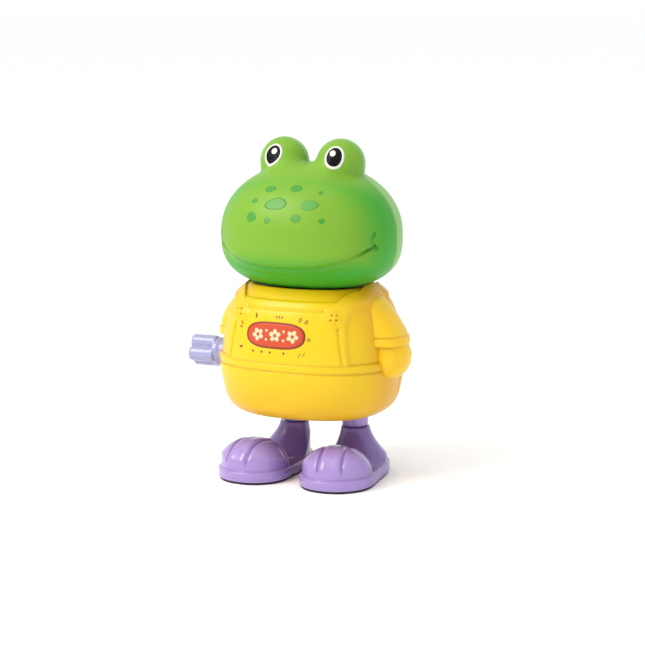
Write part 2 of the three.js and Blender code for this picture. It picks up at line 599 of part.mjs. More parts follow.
// The slot that the crank pin works in, upright when the leg is in the middle of its swing.
function pinSlot() {
  const half = crank.pinRadius + faceGap;
  const reach = crank.throw + faceGap;
  const shape = new THREE.Shape();
  shape.moveTo(crankAxis.x + half, crankAxis.y - reach);
  shape.lineTo(crankAxis.x + half, crankAxis.y + reach);
  shape.absarc(crankAxis.x, crankAxis.y + reach, half, 0, Math.PI, false);
  shape.lineTo(crankAxis.x - half, crankAxis.y - reach);
  shape.absarc(crankAxis.x, crankAxis.y - reach, half, Math.PI, 2 * Math.PI, false);
  return plateX(shape, -far, far, 6);
}

function buildLegs() {
  for (const side of [1, -1]) {
    const name = side > 0 ? "left" : "right";
    const outerX = legPlate.innerX + legPlate.thickness;
    const postX = side * legPost.x;
    const plate = plateX(legOutline(), ...onSide(side, legPlate.innerX, outerX), 8);
    const post = rodZ(legPost.radius, legPost.ring + faceGap / 2, legPost.top, postX, legPost.y);
    const shank = rodZ(legPost.shankRadius, legPost.shankEnd, legPost.top - 1, postX, legPost.y);
    const pivotHole = rodX(pivotScrewRadius + runGap, -far, far, legPivot, 16);
    const pilot = rodZ(pilotHole, 0, legPost.shankEnd + bodyScrew.bite, postX, legPost.y, 12);
    addPiece(`${name}_leg`, cut(join([plate, post, shank]), [pivotHole, pinSlot(), pilot]), "purplePlastic");

    const start = gearbox.halfWidth - gearbox.wall;
    const headFrom = outerX + faceGap;
    const headTo = headFrom + screw.headHeight;
    const pivotShank = rodX(pivotScrewRadius, ...onSide(side, start, headFrom + screw.inHead), legPivot);
    const pivotHead = rodX(pivotHeadRadius, ...onSide(side, headFrom, headTo), legPivot);
    addPiece(`${name}_leg_pivot_screw`, pivotShank.add(pivotHead), "steel");
  }
}

// ---- boots --------------------------------------------------------------------------------------------------
// The boot's outline from above, drawn in by inset and shrunk about its middle to reach.
function bootRing(side, z, reach, inset) {
  const corners = bootOutline.map(([x, y]) => new THREE.Vector3(x, y, 0));
  const middle = new THREE.Vector3(boot.centreX, boot.centreY, 0);
  const curve = new THREE.CatmullRomCurve3(corners, true);
  const ring = curve.getPoints(boot.segments).slice(0, boot.segments).map((point) => {
    const out = point.sub(middle);
    out.setLength(out.length() - inset).multiplyScalar(reach).add(middle);
    return new THREE.Vector3(side * out.x, out.y, z);
  });
  return side > 0 ? ring : ring.reverse();
}

function bootDome(side, inset, from, top) {
  const rings = [bootRing(side, from, 1, inset)];
  for (let i = 1; i < boot.levels; i += 1) {
    const angle = (i / boot.levels) * (Math.PI / 2);
    const round = 2 / boot.domePower;
    const z = boot.weltTop + (top - boot.weltTop) * Math.sin(angle) ** round;
    rings.push(bootRing(side, z, Math.cos(angle) ** round, inset));
  }
  return loft(rings);
}

function buildBoots() {
  for (const side of [1, -1]) {
    const name = side > 0 ? "left" : "right";
    const postX = side * legPost.x;
    const welt = loft([bootRing(side, boot.bottom, 1, 0), bootRing(side, boot.weltTop, 1, 0)]);
    const dome = bootDome(side, boot.weltProud, boot.bottom + 1, boot.top);
    const ankle = toSolid(new THREE.LatheGeometry([
      new THREE.Vector2(0, boot.weltTop), new THREE.Vector2(boot.ankleFlare, boot.weltTop),
      new THREE.Vector2(boot.ankleFlare, boot.ankleWaist),
      new THREE.Vector2(boot.ankleRadius + boot.ankleEdge, boot.top - boot.ankleEdge),
      new THREE.Vector2(boot.ankleRadius, boot.ankleTop), new THREE.Vector2(0, boot.ankleTop),
    ], 20).rotateX(Math.PI / 2).translate(postX, legPost.y, 0));
    const cavity = bootDome(side, boot.weltProud + boot.wall, boot.bottom - 1, boot.top - boot.wall);
    const boss = rodZ(boot.bossRadius, boot.webBottom, boot.top, postX, legPost.y);
    const socket = rodZ(legPost.shankRadius + runGap, legPost.shankEnd - faceGap, far, postX, legPost.y);
    const screwRoom = rodZ(screwHole, 0, far, postX, legPost.y, 12);
    const shell = join([welt, dome, ankle]).subtract(cavity).add(boss);
    addPiece(`${name}_boot`, cut(shell, [socket, screwRoom]), "purplePlastic");
    const sole = loft([bootRing(side, 0, 1, boot.soleInset), bootRing(side, boot.soleTop, 1, boot.soleInset)]);
    addPiece(`${name}_sole`, sole, "solePlastic");

    const seat = boot.webBottom - pressGap;
    const shankTop = legPost.shankEnd + bodyScrew.bite - 1;
    const shank = rodZ(screw.shankRadius, seat - screw.inHead, shankTop, postX, legPost.y, 12);
    const top = rodZ(screw.headRadius, seat - screw.headHeight, seat, postX, legPost.y, 16);
    addPiece(`${name}_boot_screw`, shank.add(top), "steel");
  }
}

buildHead();
buildBody();
buildArms();
buildKnob();
buildWorks();
buildGearbox();
buildCranks();
buildLegs();
buildBoots();

// The origin is under the middle of the figure's box.
const whole = new THREE.Box3().setFromObject(figure);
const middle = whole.getCenter(new THREE.Vector3());
figure.position.set(-middle.x, -middle.y, -whole.min.z);

export default figure;
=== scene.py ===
"""Wind-up frog: moulded shells, printed face and bib, clockwork knob and boots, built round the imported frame."""
import json
import math

import bpy
import numpy as np
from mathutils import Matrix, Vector


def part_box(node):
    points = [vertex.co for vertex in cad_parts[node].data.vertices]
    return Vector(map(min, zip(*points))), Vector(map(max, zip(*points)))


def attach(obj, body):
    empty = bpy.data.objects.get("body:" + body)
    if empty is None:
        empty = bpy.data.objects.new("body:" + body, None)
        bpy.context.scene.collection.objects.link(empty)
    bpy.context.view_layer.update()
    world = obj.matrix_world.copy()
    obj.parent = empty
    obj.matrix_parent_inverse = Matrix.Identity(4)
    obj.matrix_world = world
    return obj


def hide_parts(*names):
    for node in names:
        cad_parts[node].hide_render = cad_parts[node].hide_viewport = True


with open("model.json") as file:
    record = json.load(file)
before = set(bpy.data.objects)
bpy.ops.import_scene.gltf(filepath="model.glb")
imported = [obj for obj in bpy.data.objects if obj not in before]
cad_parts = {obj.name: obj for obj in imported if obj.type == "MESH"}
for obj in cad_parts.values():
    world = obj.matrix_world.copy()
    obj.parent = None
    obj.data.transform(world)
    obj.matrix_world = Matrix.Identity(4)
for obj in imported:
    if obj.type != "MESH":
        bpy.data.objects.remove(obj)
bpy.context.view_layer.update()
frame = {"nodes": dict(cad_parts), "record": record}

bl_info = {
    "name": "Wind-up frog",
    "version": (1, 0, 0),
    "blender": (4, 5, 0),
    "location": "3D View > Sidebar > Frog",
    "description": "Builds the shown pieces of a clockwork frog round its packed frame",
    "category": "Add Mesh",
}

MM = 0.001
SHELL_GAP = 0.3  # the open line between two moulded halves

# The frog's own axes: X = 0 is its middle, it faces -Y, Z = 0 is the floor, all in millimetres.
_head_low, _head_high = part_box("head_front_shell")
FROG_ORIGIN = np.array([(_head_low.x + _head_high.x) / 2, _head_high.y + SHELL_GAP / 2 * MM, 0.0])


def node_box(node):
    """A CAD node's lowest and highest corner in the frog's own millimetres."""
    low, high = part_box(node)
    return (np.array(low) - FROG_ORIGIN) / MM, (np.array(high) - FROG_ORIGIN) / MM


def to_linear(colour):
    """An sRGB hex colour such as "#66a030" as the linear RGBA that shaders take."""
    parts = [int(colour[i:i + 2], 16) / 255 for i in (1, 3, 5)]
    return [c / 12.92 if c <= 0.04045 else ((c + 0.055) / 1.055) ** 2.4 for c in parts] + [1.0]


# ---------------------------------------------------------------- shapes as distance fields, in millimetres

def ramp(value, start, end):
    """0 up to start, 1 from end on, and a smooth rise between."""
    t = np.clip((value - start) / (end - start), 0, 1)
    return t * t * (3 - 2 * t)


def merge(a, b, radius):
    """The union of two fields with a fillet of about that radius."""
    share = np.clip(0.5 + 0.5 * (b - a) / radius, 0, 1)
    return b + (a - b) * share - radius * share * (1 - share)


def shared(a, b, radius):
    """The part inside both fields, its edge rounded by about that radius."""
    return -merge(-a, -b, radius)


def oval(x, y, half_x, half_y, power):
    """1 on a superellipse, less inside it and more outside it."""
    return (np.abs(x / half_x) ** power + np.abs(y / half_y) ** power) ** (1 / power)


def path_distance(u, v, path):
    """Distance in a plane to a line through the given points."""
    best = np.full(np.shape(u), 1e9)
    for (u0, v0), (u1, v1) in zip(path[:-1], path[1:]):
        du, dv = u1 - u0, v1 - v0
        t = np.clip(((u - u0) * du + (v - v0) * dv) / (du * du + dv * dv), 0, 1)
        best = np.minimum(best, np.hypot(u - u0 - t * du, v - v0 - t * dv))
    return best


def ridge(distance, height, half_width):
    """A soft ridge along a line, from the distance to that line."""
    return height * np.exp(-(distance / half_width) ** 2)


def slope(field, points):
    """The field's gradient at each point."""
    reach = 0.05
    out = np.empty_like(points)
    for axis in range(3):
        offset = np.zeros(3)
        offset[axis] = reach
        out[:, axis] = (field(points + offset) - field(points - offset)) / (2 * reach)
    return out


def skin(field, low, high, step):
    """A closed mesh of quads round the space where the field is negative. It walks a grid of the
    given step, puts one point in each cell that the surface crosses and draws it on to the surface."""
    low = np.array(low, float)
    counts = np.ceil((np.array(high) - low) / step).astype(int) + 1
    grid = np.stack(np.meshgrid(*[low[k] + step * np.arange(counts[k]) for k in range(3)],
                                indexing="ij"), axis=-1)
    value = np.concatenate([field(slab.reshape(-1, 3)) for slab in grid]).reshape(counts)
    cells = counts - 1
    flat_cells, flat_points, quads = [], [], []
    for axis in range(3):
        near = np.moveaxis(value, axis, 0)[:-1]
        far = np.moveaxis(value, axis, 0)[1:]
        where = np.argwhere((near < 0) != (far < 0))
        v0, v1 = near[tuple(where.T)], far[tuple(where.T)]
        order = [axis] + [k for k in range(3) if k != axis]
        index = np.empty_like(where)
        index[:, order] = where
        crossing = low + step * index
        crossing[:, axis] += step * v0 / (v0 - v1)
        u, v = np.zeros(3, int), np.zeros(3, int)
        u[(axis + 1) % 3] = v[(axis + 2) % 3] = 1
        ring = [index - u - v, index - v, index, index - u]
        ids = np.stack([np.ravel_multi_index(tuple(c.T), tuple(cells)) for c in ring], axis=1)
        quads.append(np.where((v0 < 0)[:, None], ids, ids[:, ::-1]))
        flat_cells.append(ids.ravel())
        flat_points.append(np.repeat(crossing, 4, axis=0))
    used, back = np.unique(np.concatenate(flat_cells), return_inverse=True)
    crossings = np.concatenate(flat_points)
    share = np.bincount(back)
    points = np.stack([np.bincount(back, crossings[:, k]) / share for k in range(3)], axis=1)
    for _ in range(3):
        lean = slope(field, points)
        move = -field(points)[:, None] * lean / np.maximum((lean ** 2).sum(1), 0.05)[:, None]
        length = np.linalg.norm(move, axis=1, keepdims=True)
        points += move * np.minimum(1, 0.4 * step / np.maximum(length, 1e-9))
    faces = np.searchsorted(used, np.concatenate(quads))
    return points, faces


# ---------------------------------------------------------------- the frog's forms

HEAD_HALF = np.array([27.3, 23.0, 22.5])   # half width, depth to the front, depth to the back
HEAD_BOTTOM, HEAD_WIDEST, HEAD_TOP = 57.2, 73.4, 94.4
# superellipse powers of the head round its middle, over the crown and down to the jaw, and of the chest
HEAD_POWER, CROWN_POWER, JAW_POWER, CHEST_POWER = 2.2, 2.1, 2.9, 2.4
EYE_BUMP = np.array([9.1, 0.6, 94.3])
EYE_BUMP_RADIUS = 7.3
MOUTH_HALF = 24.4
# distance from the middle and level of points down the fold at each corner of the mouth
MOUTH_CORNER = [(24.3, 75.6), (23.9, 74.1), (24.1, 72.6), (24.7, 71.2)]
CHEST_HALF = np.array([26.8, 22.0, 23.5])
BODY_BOTTOM, BODY_TOP, BODY_SEAM = 20.6, 58.6, 4.5
WALL = 1.6
NECK_HOLE = 7.15
# share of the body's height, and the chest's width there as a share of its widest
CHEST_PROFILE = np.array([[-0.1, 0.74], [0, 0.80], [0.035, 0.88], [0.12, 0.935], [0.28, 0.98], [0.43, 1.0],
                          [0.6, 0.98], [0.76, 0.935], [0.84, 0.89], [0.9, 0.83], [0.95, 0.76], [1.0, 0.67],
                          [1.1, 0.48]])


def mouth_height(x):
    """The level of the mouth line across the face: almost level in front, rising at the cheeks."""
    return 65.3 + 8.8e-4 * np.minimum(np.abs(x), 26) ** 2.79


def head_form(p):
    """The head with its two eye bumps, mouth line, lips and mouth corners."""
    x, y, z = p.T
    above = z > HEAD_WIDEST
    rise = np.where(above, HEAD_TOP - HEAD_WIDEST, HEAD_WIDEST - HEAD_BOTTOM)
    depth = np.where(y < 0, HEAD_HALF[1], HEAD_HALF[2])
    level = z - HEAD_WIDEST
    around = oval(x, y, HEAD_HALF[0], depth, HEAD_POWER)
    power = np.where(above, CROWN_POWER, JAW_POWER)
    reach = np.maximum((around ** power + np.abs(level / rise) ** power) ** (1 / power), 1e-6)
    radius = np.sqrt(x * x + y * y + level * level)
    skull = radius * (1 - 1 / reach)

    side = np.abs(x)
    over_bump = z - EYE_BUMP[2]
    bump = np.sqrt((side - EYE_BUMP[0]) ** 2 + (y - EYE_BUMP[1]) ** 2
                   + (np.minimum(over_bump, 0) * 0.6 + np.maximum(over_bump, 0)) ** 2) - EYE_BUMP_RADIUS
    fillet = 0.8 + 5.0 * ramp(-y, -1, 8) * (1 - ramp(side, 8.5, 13.5))
    form = merge(skull, bump, fillet)

    on_face = ramp(-y, 2, 9)
    off_line = z - mouth_height(x)
    inside_mouth = 1 - ramp(side, MOUTH_HALF - 1, MOUTH_HALF + 0.6)
    groove = ridge(off_line, 1.05, 0.5) * inside_mouth
    upper_lip = ridge(off_line - 1.9, 0.45, 1.4) * (1 - ramp(side, 15, MOUTH_HALF))
    lower_lip = ridge(off_line + 1.3, 0.35, 0.5) * inside_mouth
    jaw = 1.3 * ramp(-off_line, 0, 1.2) * (1 - ramp(-off_line, 2.5, 9)) * (1 - ramp(side, 19, 25.5))
    crease = ridge(off_line + 2.6, 0.25, 0.4) * ramp(-x, 2, 10) * (1 - ramp(-x, 16, 20))
    dimple = ridge(path_distance(side, z, MOUTH_CORNER), 0.7, 0.55) * ramp(-y, 4, 8)
    return form + on_face * (groove - upper_lip - lower_lip + jaw + crease) + dimple


def under_head(p):
    """Below zero where the collar may reach: everywhere but in the head or within a fine gap of it."""
    return 0.1 - head_form(p)


def softened(profile):
    """A fine line through a profile's points, with its corners rounded off."""
    fine = np.linspace(profile[0, 0], profile[-1, 0], 241)
    soft = np.interp(fine, profile[:, 0], profile[:, 1])
    for _ in range(60):
        soft[1:-1] = (soft[:-2] + 2 * soft[1:-1] + soft[2:]) / 4
    return fine, soft


CHEST_LINE = softened(CHEST_PROFILE)


def chest_form(p):
    """The round body without its clothes: a barrel with a flat base and a shoulder that follows the head."""
    x, y, z = p.T
    depth = np.where(y < 0, CHEST_HALF[1], CHEST_HALF[2])
    share = (z - BODY_BOTTOM) / (BODY_TOP - BODY_BOTTOM)
    width = np.interp(share, *CHEST_LINE)
    around = oval(x, y, CHEST_HALF[0], depth, CHEST_POWER)
    side = (around - width) * CHEST_HALF[2]
    return shared(shared(side, BODY_BOTTOM - z, 2.2), under_head(p) + 0.5, 0.8)


RELIEF = 0.8          # how far the dungarees stand off the shirt
HEM = 0.42            # depth of a pressed seam line
WAIST, BELT_LOW = 37.2, 34.8
BUTTON = (15.2, 51.4)   # X and Z, as for the wells
BUTTON_RADIUS = 2.0
UPPER_WELL = (16.5, 49.0)   # the upper screw wells in the back


def edge(distance, width=0.45):
    """1 well inside an outline, 0 outside it."""
    return 1 - ramp(distance, -width / 2, width / 2)


def clothes_relief(p):
    """How far the moulded clothes stand off the chest: bib, straps, buttons, belt, trousers and seam lines."""
    x, y, z = p.T
    side = np.abs(x)
    front = 1 - ramp(y, -2.5, -1.5)
    bib_edge = np.interp(z, [30, 37, 42, 50, 53], [20.2, 19.7, 18.9, 18.2, 18.2])
    bib = edge(np.maximum(side - bib_edge, z - 55.4)) * front
    back_edge = np.interp(z, [36, 46, 53], [18.5, 16.5, 15.0])
    back_bib = edge(np.maximum(side - back_edge, z - 50.0)) * ramp(y, 1.5, 2.5)
    strap_line = np.interp(y, [-17.5, -14.4, -7, 7, 15], [15.9, 17.0, 20.2, 20.2, 16.5])
    strap = edge(np.maximum(np.abs(side - strap_line) - 2.0, 50.2 - z))
    from_button = np.hypot(side - BUTTON[0], z - BUTTON[1])
    strap_end = edge(from_button - 3.3) * front
    trousers = edge(z - WAIST, 0.5)
    well_pad = edge(np.hypot(side - UPPER_WELL[0], z - UPPER_WELL[1]) - 3.7) * ramp(y, 5, 6)
    height = RELIEF * np.maximum.reduce([bib, back_bib, strap, trousers, well_pad])
    raised_strap = np.maximum(strap * ramp(z, 50.6, 51.4), strap_end) * (1 - well_pad)
    height += 0.22 * raised_strap
    button = edge(from_button - BUTTON_RADIUS, 0.5) * front
    holes = np.minimum.reduce([np.hypot(side - BUTTON[0] - dx, z - BUTTON[1] - dz)
                               for dx in (-0.7, 0.7) for dz in (-0.7, 0.7)])
    height += 0.4 * button - 0.6 * edge(holes - 0.34, 0.3) * front
    height -= ridge(from_button - 1.6, 0.3, 0.25) * button

    free = 1 - np.maximum(raised_strap, button)
    inner_edge = np.interp(z, [36, 37.6, 50, 53], [18.1, 18.0, 16.0, 15.6])
    hem_line = np.minimum(np.where((z > 37.4) & (z < 53), np.abs(side - inner_edge), 9),
                          np.where(side < inner_edge, np.abs(z - 53.0), 9))
    height -= ridge(hem_line, HEM, 0.3) * bib * free
    for level, share in ((WAIST, 0.8), (BELT_LOW, 1)):
        height -= ridge(z - level, HEM, 0.32) * share
    return height + 0.05 * edge(np.abs(z - (WAIST + BELT_LOW) / 2) - 1.0, 0.6)


def dents(p):
    """Two shallow moulded hollows low on the belly."""
    x, y, z = p.T
    first = np.exp(-((x + 4.5) / 5.5) ** 2 - ((z - 25.6) / 1.9) ** 2)
    second = np.exp(-((x - 9.5) / 4.0) ** 2 - ((z - 22.4) / 1.5) ** 2)
    return (0.55 * first + 0.35 * second) * ramp(-y, 4, 9)


def body_form(p):
    """The dressed body's outer surface."""
    return shared(chest_form(p) - clothes_relief(p) + dents(p), under_head(p), 0.15)


def half_shell(outer, inner, seam, front, extra=None):
    """One moulded half of a hollow form, cut at a seam plane, with the seam's edge lightly rounded."""
    def field(p):
        y = p[:, 1]
        plane = (y - (seam - SHELL_GAP / 2)) if front else ((seam + SHELL_GAP / 2) - y)
        solid = shared(outer(p), plane, 0.25)
        form = np.maximum(solid, -inner(p))
        return form if extra is None else np.maximum(form, extra(p))
    return field


def head_inside(p):
    """The hollow of the head, one wall's thickness in."""
    return head_form(p) + WALL


def body_inside(p):
    """The hollow of the body, one wall's thickness in from the chest."""
    return chest_form(p) + WALL


LEG_X, LEG_Y, LEG_RADIUS = 9.7, 10.5, 4.05
LEG_ROOM = np.array([4.65, 7.3, 23.4])   # half width, half length and top of the slot that a leg swings in
KNOB_AXIS = np.array([0.0, 35.0])        # Y and Z of the winding arbor
NECK_FLOOR, KNOB_HOLE = 50, 4.35
SCREW_HEAD, SCREW_WELL, SCREW_BOSS, BOSS_LENGTH = 1.4, 2.4, 3.1, 3.0


def body_openings(p):
    """Positive in the neck, in the two slots that the legs swing in and round the winding arbor."""
    x, y, z = p.T
    neck = np.minimum(NECK_HOLE - np.hypot(x, y), z - NECK_FLOOR)
    legs = np.minimum.reduce([LEG_ROOM[0] - np.abs(np.abs(x) - LEG_X), LEG_ROOM[1] - np.abs(y - LEG_Y),
                              LEG_ROOM[2] - z])
    knob = np.minimum(KNOB_HOLE - np.hypot(y - KNOB_AXIS[0], z - KNOB_AXIS[1]), -x - 15)
    return np.maximum.reduce([neck, legs, knob])


def rear_shell_form(p):
    """The body's back half, with a well for each of the four screws that close it."""
    x, y, z = p.T
    form = half_shell(body_form, body_inside, BODY_SEAM, False, body_openings)(p)
    for centre_x, centre_z, head_y in SCREWS:
        across = np.hypot(x - centre_x, z - centre_z)
        boss = np.maximum.reduce([across - SCREW_BOSS, body_form(p) + 0.4, head_y - BOSS_LENGTH - y])
        form = np.minimum(form, boss)
        form = np.maximum(form, np.minimum(SCREW_WELL - across, y - head_y))
    return form


def screw_places():
    """X, Z and the plane under the head of each screw that closes the body."""
    places = []
    for name in ("upper_left", "upper_right", "lower_left", "lower_right"):
        low, high = node_box("body_screw_" + name)
        places.append(((low[0] + high[0]) / 2, (low[2] + high[2]) / 2, high[1] - SCREW_HEAD))
    return places


SCREWS = screw_places()

# sleeve and mitten sections: level, outermost X, half width, half depth
SLEEVE = np.array([[41.0, 31.2, 6.1, 7.9], [42.0, 31.4, 6.3, 8.1], [44.4, 31.0, 6.2, 8.1], [46.3, 30.0, 6.0, 7.9],
                   [50.0, 27.7, 5.6, 7.4], [53.0, 25.4, 5.0, 6.6], [55.2, 23.6, 4.0, 5.2], [56.4, 21.4, 1.8, 2.8],
                   [57.4, 19.6, 0.6, 1.0]])
MITTEN = np.array([[31.0, 26.4, 1.0, 1.6], [31.9, 28.6, 2.8, 3.8], [33.6, 30.6, 4.6, 6.1], [36.0, 31.85, 5.4, 7.2],
                   [39.0, 32.15, 5.6, 7.4], [42.4, 31.0, 5.2, 6.8], [45.0, 30.0, 4.8, 6.4]])
ARM_Y = -1.6
CUFF_BOTTOM, SLEEVE_TOP, MITTEN_BOTTOM, MITTEN_TOP = 42.0, 56.6, 31.9, 43.0
SLEEVE_SINK = 0.5     # how far a sleeve reaches into the body, so that no ragged edge shows


def limb_form(side, y, z, sections):
    """A limb hanging at the side, from its cross-sections."""
    outer, half_x, half_y = (np.interp(z, sections[:, 0], sections[:, k]) for k in (1, 2, 3))
    return (oval(side - outer + half_x, y - ARM_Y, half_x, half_y, 2.15) - 1) * np.minimum(half_x, half_y)


def arm_form(p, with_hand):
    """A short sleeve with a turned-up cuff and, on the left, the mitten below it."""
    x, y, z = p.T
    side = np.abs(x)
    # the right sleeve lies closer to the chest, most of all at its cuff
    tucked = 0.0 if with_hand else 2.7 - 1.4 * ramp(z, 42, 50)
    sleeve = limb_form(side + tucked, y, z, SLEEVE)
    sleeve -= 0.22 * edge(np.abs(z - 43.2) - 1.15, 0.4)
    sleeve += ridge(z - 44.6, 0.28, 0.25)
    sleeve = shared(shared(sleeve, CUFF_BOTTOM - z, 0.5), z - SLEEVE_TOP, 1.5)
    if with_hand:
        mitten = shared(limb_form(side, y, z, MITTEN), MITTEN_BOTTOM - z, 0.6)
        thumb = ridge(y + 6.6, 0.15, 0.5) * ramp(z, 36.5, 38) * (1 - ramp(z, 40.5, 41.5))
        sleeve = np.minimum(sleeve, np.maximum(mitten + thumb, z - MITTEN_TOP))
    return np.maximum(sleeve, -(body_form(p) + SLEEVE_SINK))


# ---------------------------------------------------------------- knob

KNOB_OUTER, KNOB_INNER, HUB_INNER = -39.6, -31.1, -24.6
LOBE_RADIUS, LOBE_DISTANCE, CORE_RADIUS, HUB_RADIUS = 2.3, 2.7, 3.3, 4.0
KNOB_TURN = math.radians(15)             # the lobe in front stands a little below the arbor
ARBOR_BORE, BORE_FROM = 1.56, -32.5
KNOB_STEP = 0.28                         # size of its mesh faces, finer than elsewhere for the small lobes


def knob_form(p):
    """A winding knob: four round lobes on a core with rounded ends, and a collar behind them."""
    x, y, z = p.T
    dy, dz = y - KNOB_AXIS[0], z - KNOB_AXIS[1]
    radius = np.hypot(dy, dz)
    lobe = np.full(len(x), 1e9)
    for quarter in range(4):
        turn = KNOB_TURN + quarter * math.pi / 2
        centre = LOBE_DISTANCE * math.cos(turn), LOBE_DISTANCE * math.sin(turn)
        lobe = merge(lobe, np.hypot(dy - centre[0], dz - centre[1]) - LOBE_RADIUS, 0.25)
    grip = np.minimum(lobe, radius - CORE_RADIUS)
    ends = np.abs(x - (KNOB_OUTER + KNOB_INNER) / 2) - (KNOB_INNER - KNOB_OUTER) / 2
    grip = shared(grip, ends, 0.9)
    collar = radius - HUB_RADIUS - 0.35 * (1 - ramp(x, KNOB_INNER + 0.4, KNOB_INNER + 1.6))
    collar = shared(collar, np.maximum(x - HUB_INNER, KNOB_INNER - 1 - x), 0.35)
    bore = np.minimum(ARBOR_BORE - radius, x - BORE_FROM)
    return np.maximum(np.minimum(grip, collar), bore)


# ---------------------------------------------------------------- legs and boots

LEG_RING = 13.5                          # level of the line where the leg enters the boot
SHANK_RADIUS, SOCKET_RADIUS = 2.2, 2.35  # the thin end of a leg, and the blind hole for it in the boot
SOCKET_FLOOR, SHANK_TOP, POST_TOP = 11.2, 15, 22.8
SOLE_TOP, WELT_BOTTOM, WELT_TOP = 0.6, 0.6, 3.7
SPLAY = math.radians(12)                 # how far each toe turns outwards
TOE = np.array([13.6, -13.4])            # the toe cap's centre
TOE_HALF = np.array([10.8, 9.4, 8.45])   # half width, length in front of the centre, height over the welt
TOE_TAIL = 11.5                          # its length behind the centre, if it were not cut off
TOE_BACK = 6.0                           # where the cap ends behind its centre
TOE_POWER = 2.1
ANKLE, ANKLE_BASE = np.array([10.2, 9.6]), np.array([12.2, 8.4])   # X and Y of the bell's middle, top and bottom
BELL_RADIUS, BELL_SPREAD, BELL_FLARE, BELL_OVAL = 4.4, 5.3, 1.55, 0.99
INSTEP, INSTEP_HALF = np.array([12.6, -1.5]), np.array([6.5, 5.5, 1.8])
STUD, STUD_RADIUS = np.array([12.3, -1.2, 2.2]), 1.0               # its level is over the welt
BOOT_OUTLINE = np.array([[13.0, -23.4], [17.6, -22.6], [20.8, -20.4], [23.3, -17.2], [24.5, -13.2], [24.4, -8.6],
                         [23.5, -3.0], [22.9, 3.0], [21.9, 8.4], [20.2, 13.0], [17.2, 16.4], [12.6, 17.6],
                         [8.2, 16.4], [5.2, 13.0], [3.6, 8.4], [2.9, 3.0], [2.4, -3.0], [2.2, -8.6],
                         [2.3, -13.2], [3.3, -17.2], [5.6, -20.4], [8.8, -22.6]])


def outline_distance(x, y, outline):
    """Signed distance to a closed outline in the plane, negative inside."""
    closed = np.vstack([outline, outline[:1]])
    distance = path_distance(x, y, closed)
    inside = np.zeros(np.shape(x), bool)
    for (x0, y0), (x1, y1) in zip(closed[:-1], closed[1:]):
        if y0 != y1:
            inside ^= ((y0 > y) != (y1 > y)) & (x < x0 + (y - y0) * (x1 - x0) / (y1 - y0))
    return np.where(inside, -distance, distance)


def rounded_outline(points, rounds):
    """The same closed outline with its corners cut until it is smooth."""
    for _ in range(rounds):
        ahead = np.roll(points, -1, axis=0)
        points = np.stack([points * 0.75 + ahead * 0.25, points * 0.25 + ahead * 0.75], axis=1).reshape(-1, 2)
    return points


BOOT_EDGE = rounded_outline(BOOT_OUTLINE, 2)


def boot_form(p):
    """A big boot: a puffed toe cap with two grooves, a deep fold behind it, a bell round the ankle and a welt."""
    x, y, z = p.T
    side = np.abs(x)
    from_edge = outline_distance(side, y, BOOT_EDGE)
    level = z - WELT_TOP

    across = (side - TOE[0]) * math.cos(SPLAY) + (y - TOE[1]) * math.sin(SPLAY)
    along = -(side - TOE[0]) * math.sin(SPLAY) + (y - TOE[1]) * math.cos(SPLAY)
    length = np.where(along < 0, TOE_HALF[1], TOE_TAIL)
    reach = np.maximum(oval(across, along, TOE_HALF[0], length, TOE_POWER) ** 2
                       + (np.maximum(level, 0) / TOE_HALF[2]) ** 2, 1e-6) ** 0.5
    size = np.sqrt(across ** 2 + along ** 2 + level ** 2)
    cap = np.maximum(size, 2) * (1 - 1 / reach)
    grooves = np.abs(np.abs(across + 0.15) - 3.7 + 0.45 * np.clip(level / 8, 0, 1))
    cap += ridge(grooves, 0.6, 0.42) * ramp(-along, -6.5, -4.0) * ramp(level, -0.5, 0.3)
    cap -= ridge(grooves - 1.4, 0.14, 1.0)
    lip = TOE_BACK + 0.13 * np.maximum(level, 0)
    cap += ridge(along - lip + 2.3, 0.3, 0.45)
    cap -= ridge(along - lip + 1.0, 0.25, 0.8)
    cap = shared(cap, along - lip, 0.7)

    height = np.clip((z - WELT_TOP) / (LEG_RING - WELT_TOP), 0, 1)
    flare = (1 - height) ** BELL_FLARE
    centre_x = ANKLE[0] + (ANKLE_BASE[0] - ANKLE[0]) * flare
    centre_y = ANKLE[1] + (ANKLE_BASE[1] - ANKLE[1]) * flare
    radius = BELL_RADIUS + BELL_SPREAD * flare
    bell = np.hypot(side - centre_x, (y - centre_y) * BELL_OVAL) - radius
    bell = shared(bell, z - LEG_RING, 0.35)
    instep = np.sqrt(((side - INSTEP[0]) / INSTEP_HALF[0]) ** 2 + ((y - INSTEP[1]) / INSTEP_HALF[1]) ** 2
                     + (level / INSTEP_HALF[2]) ** 2)
    instep = (instep - 1) * 2.0
    stud = np.sqrt((side - STUD[0]) ** 2 + (y - STUD[1]) ** 2 + (level - STUD[2]) ** 2) - STUD_RADIUS
    upper = merge(merge(bell, instep, 1.6), stud, 0.7)
    upper = np.minimum(upper, cap)
    upper = np.maximum(upper, from_edge + 0.9)
    upper = np.maximum(upper, WELT_BOTTOM - z)

    welt = shared(from_edge, np.maximum(z - WELT_TOP, WELT_BOTTOM - z), 0.7)
    welt += ridge(z - 1.5, 0.14, 0.22)
    form = merge(upper, welt, 0.35)
    socket = np.minimum(SOCKET_RADIUS - np.hypot(side - LEG_X, y - LEG_Y), z - SOCKET_FLOOR)
    return np.maximum(form, socket)


def sole_form(p):
    """The flat dark plate under a boot, which also stands in for the contact shadow under it as painted shadow."""
    x, y, z = p.T
    return shared(outline_distance(np.abs(x), y, BOOT_EDGE) + 0.5, np.maximum(z - SOLE_TOP, -z), 0.15)


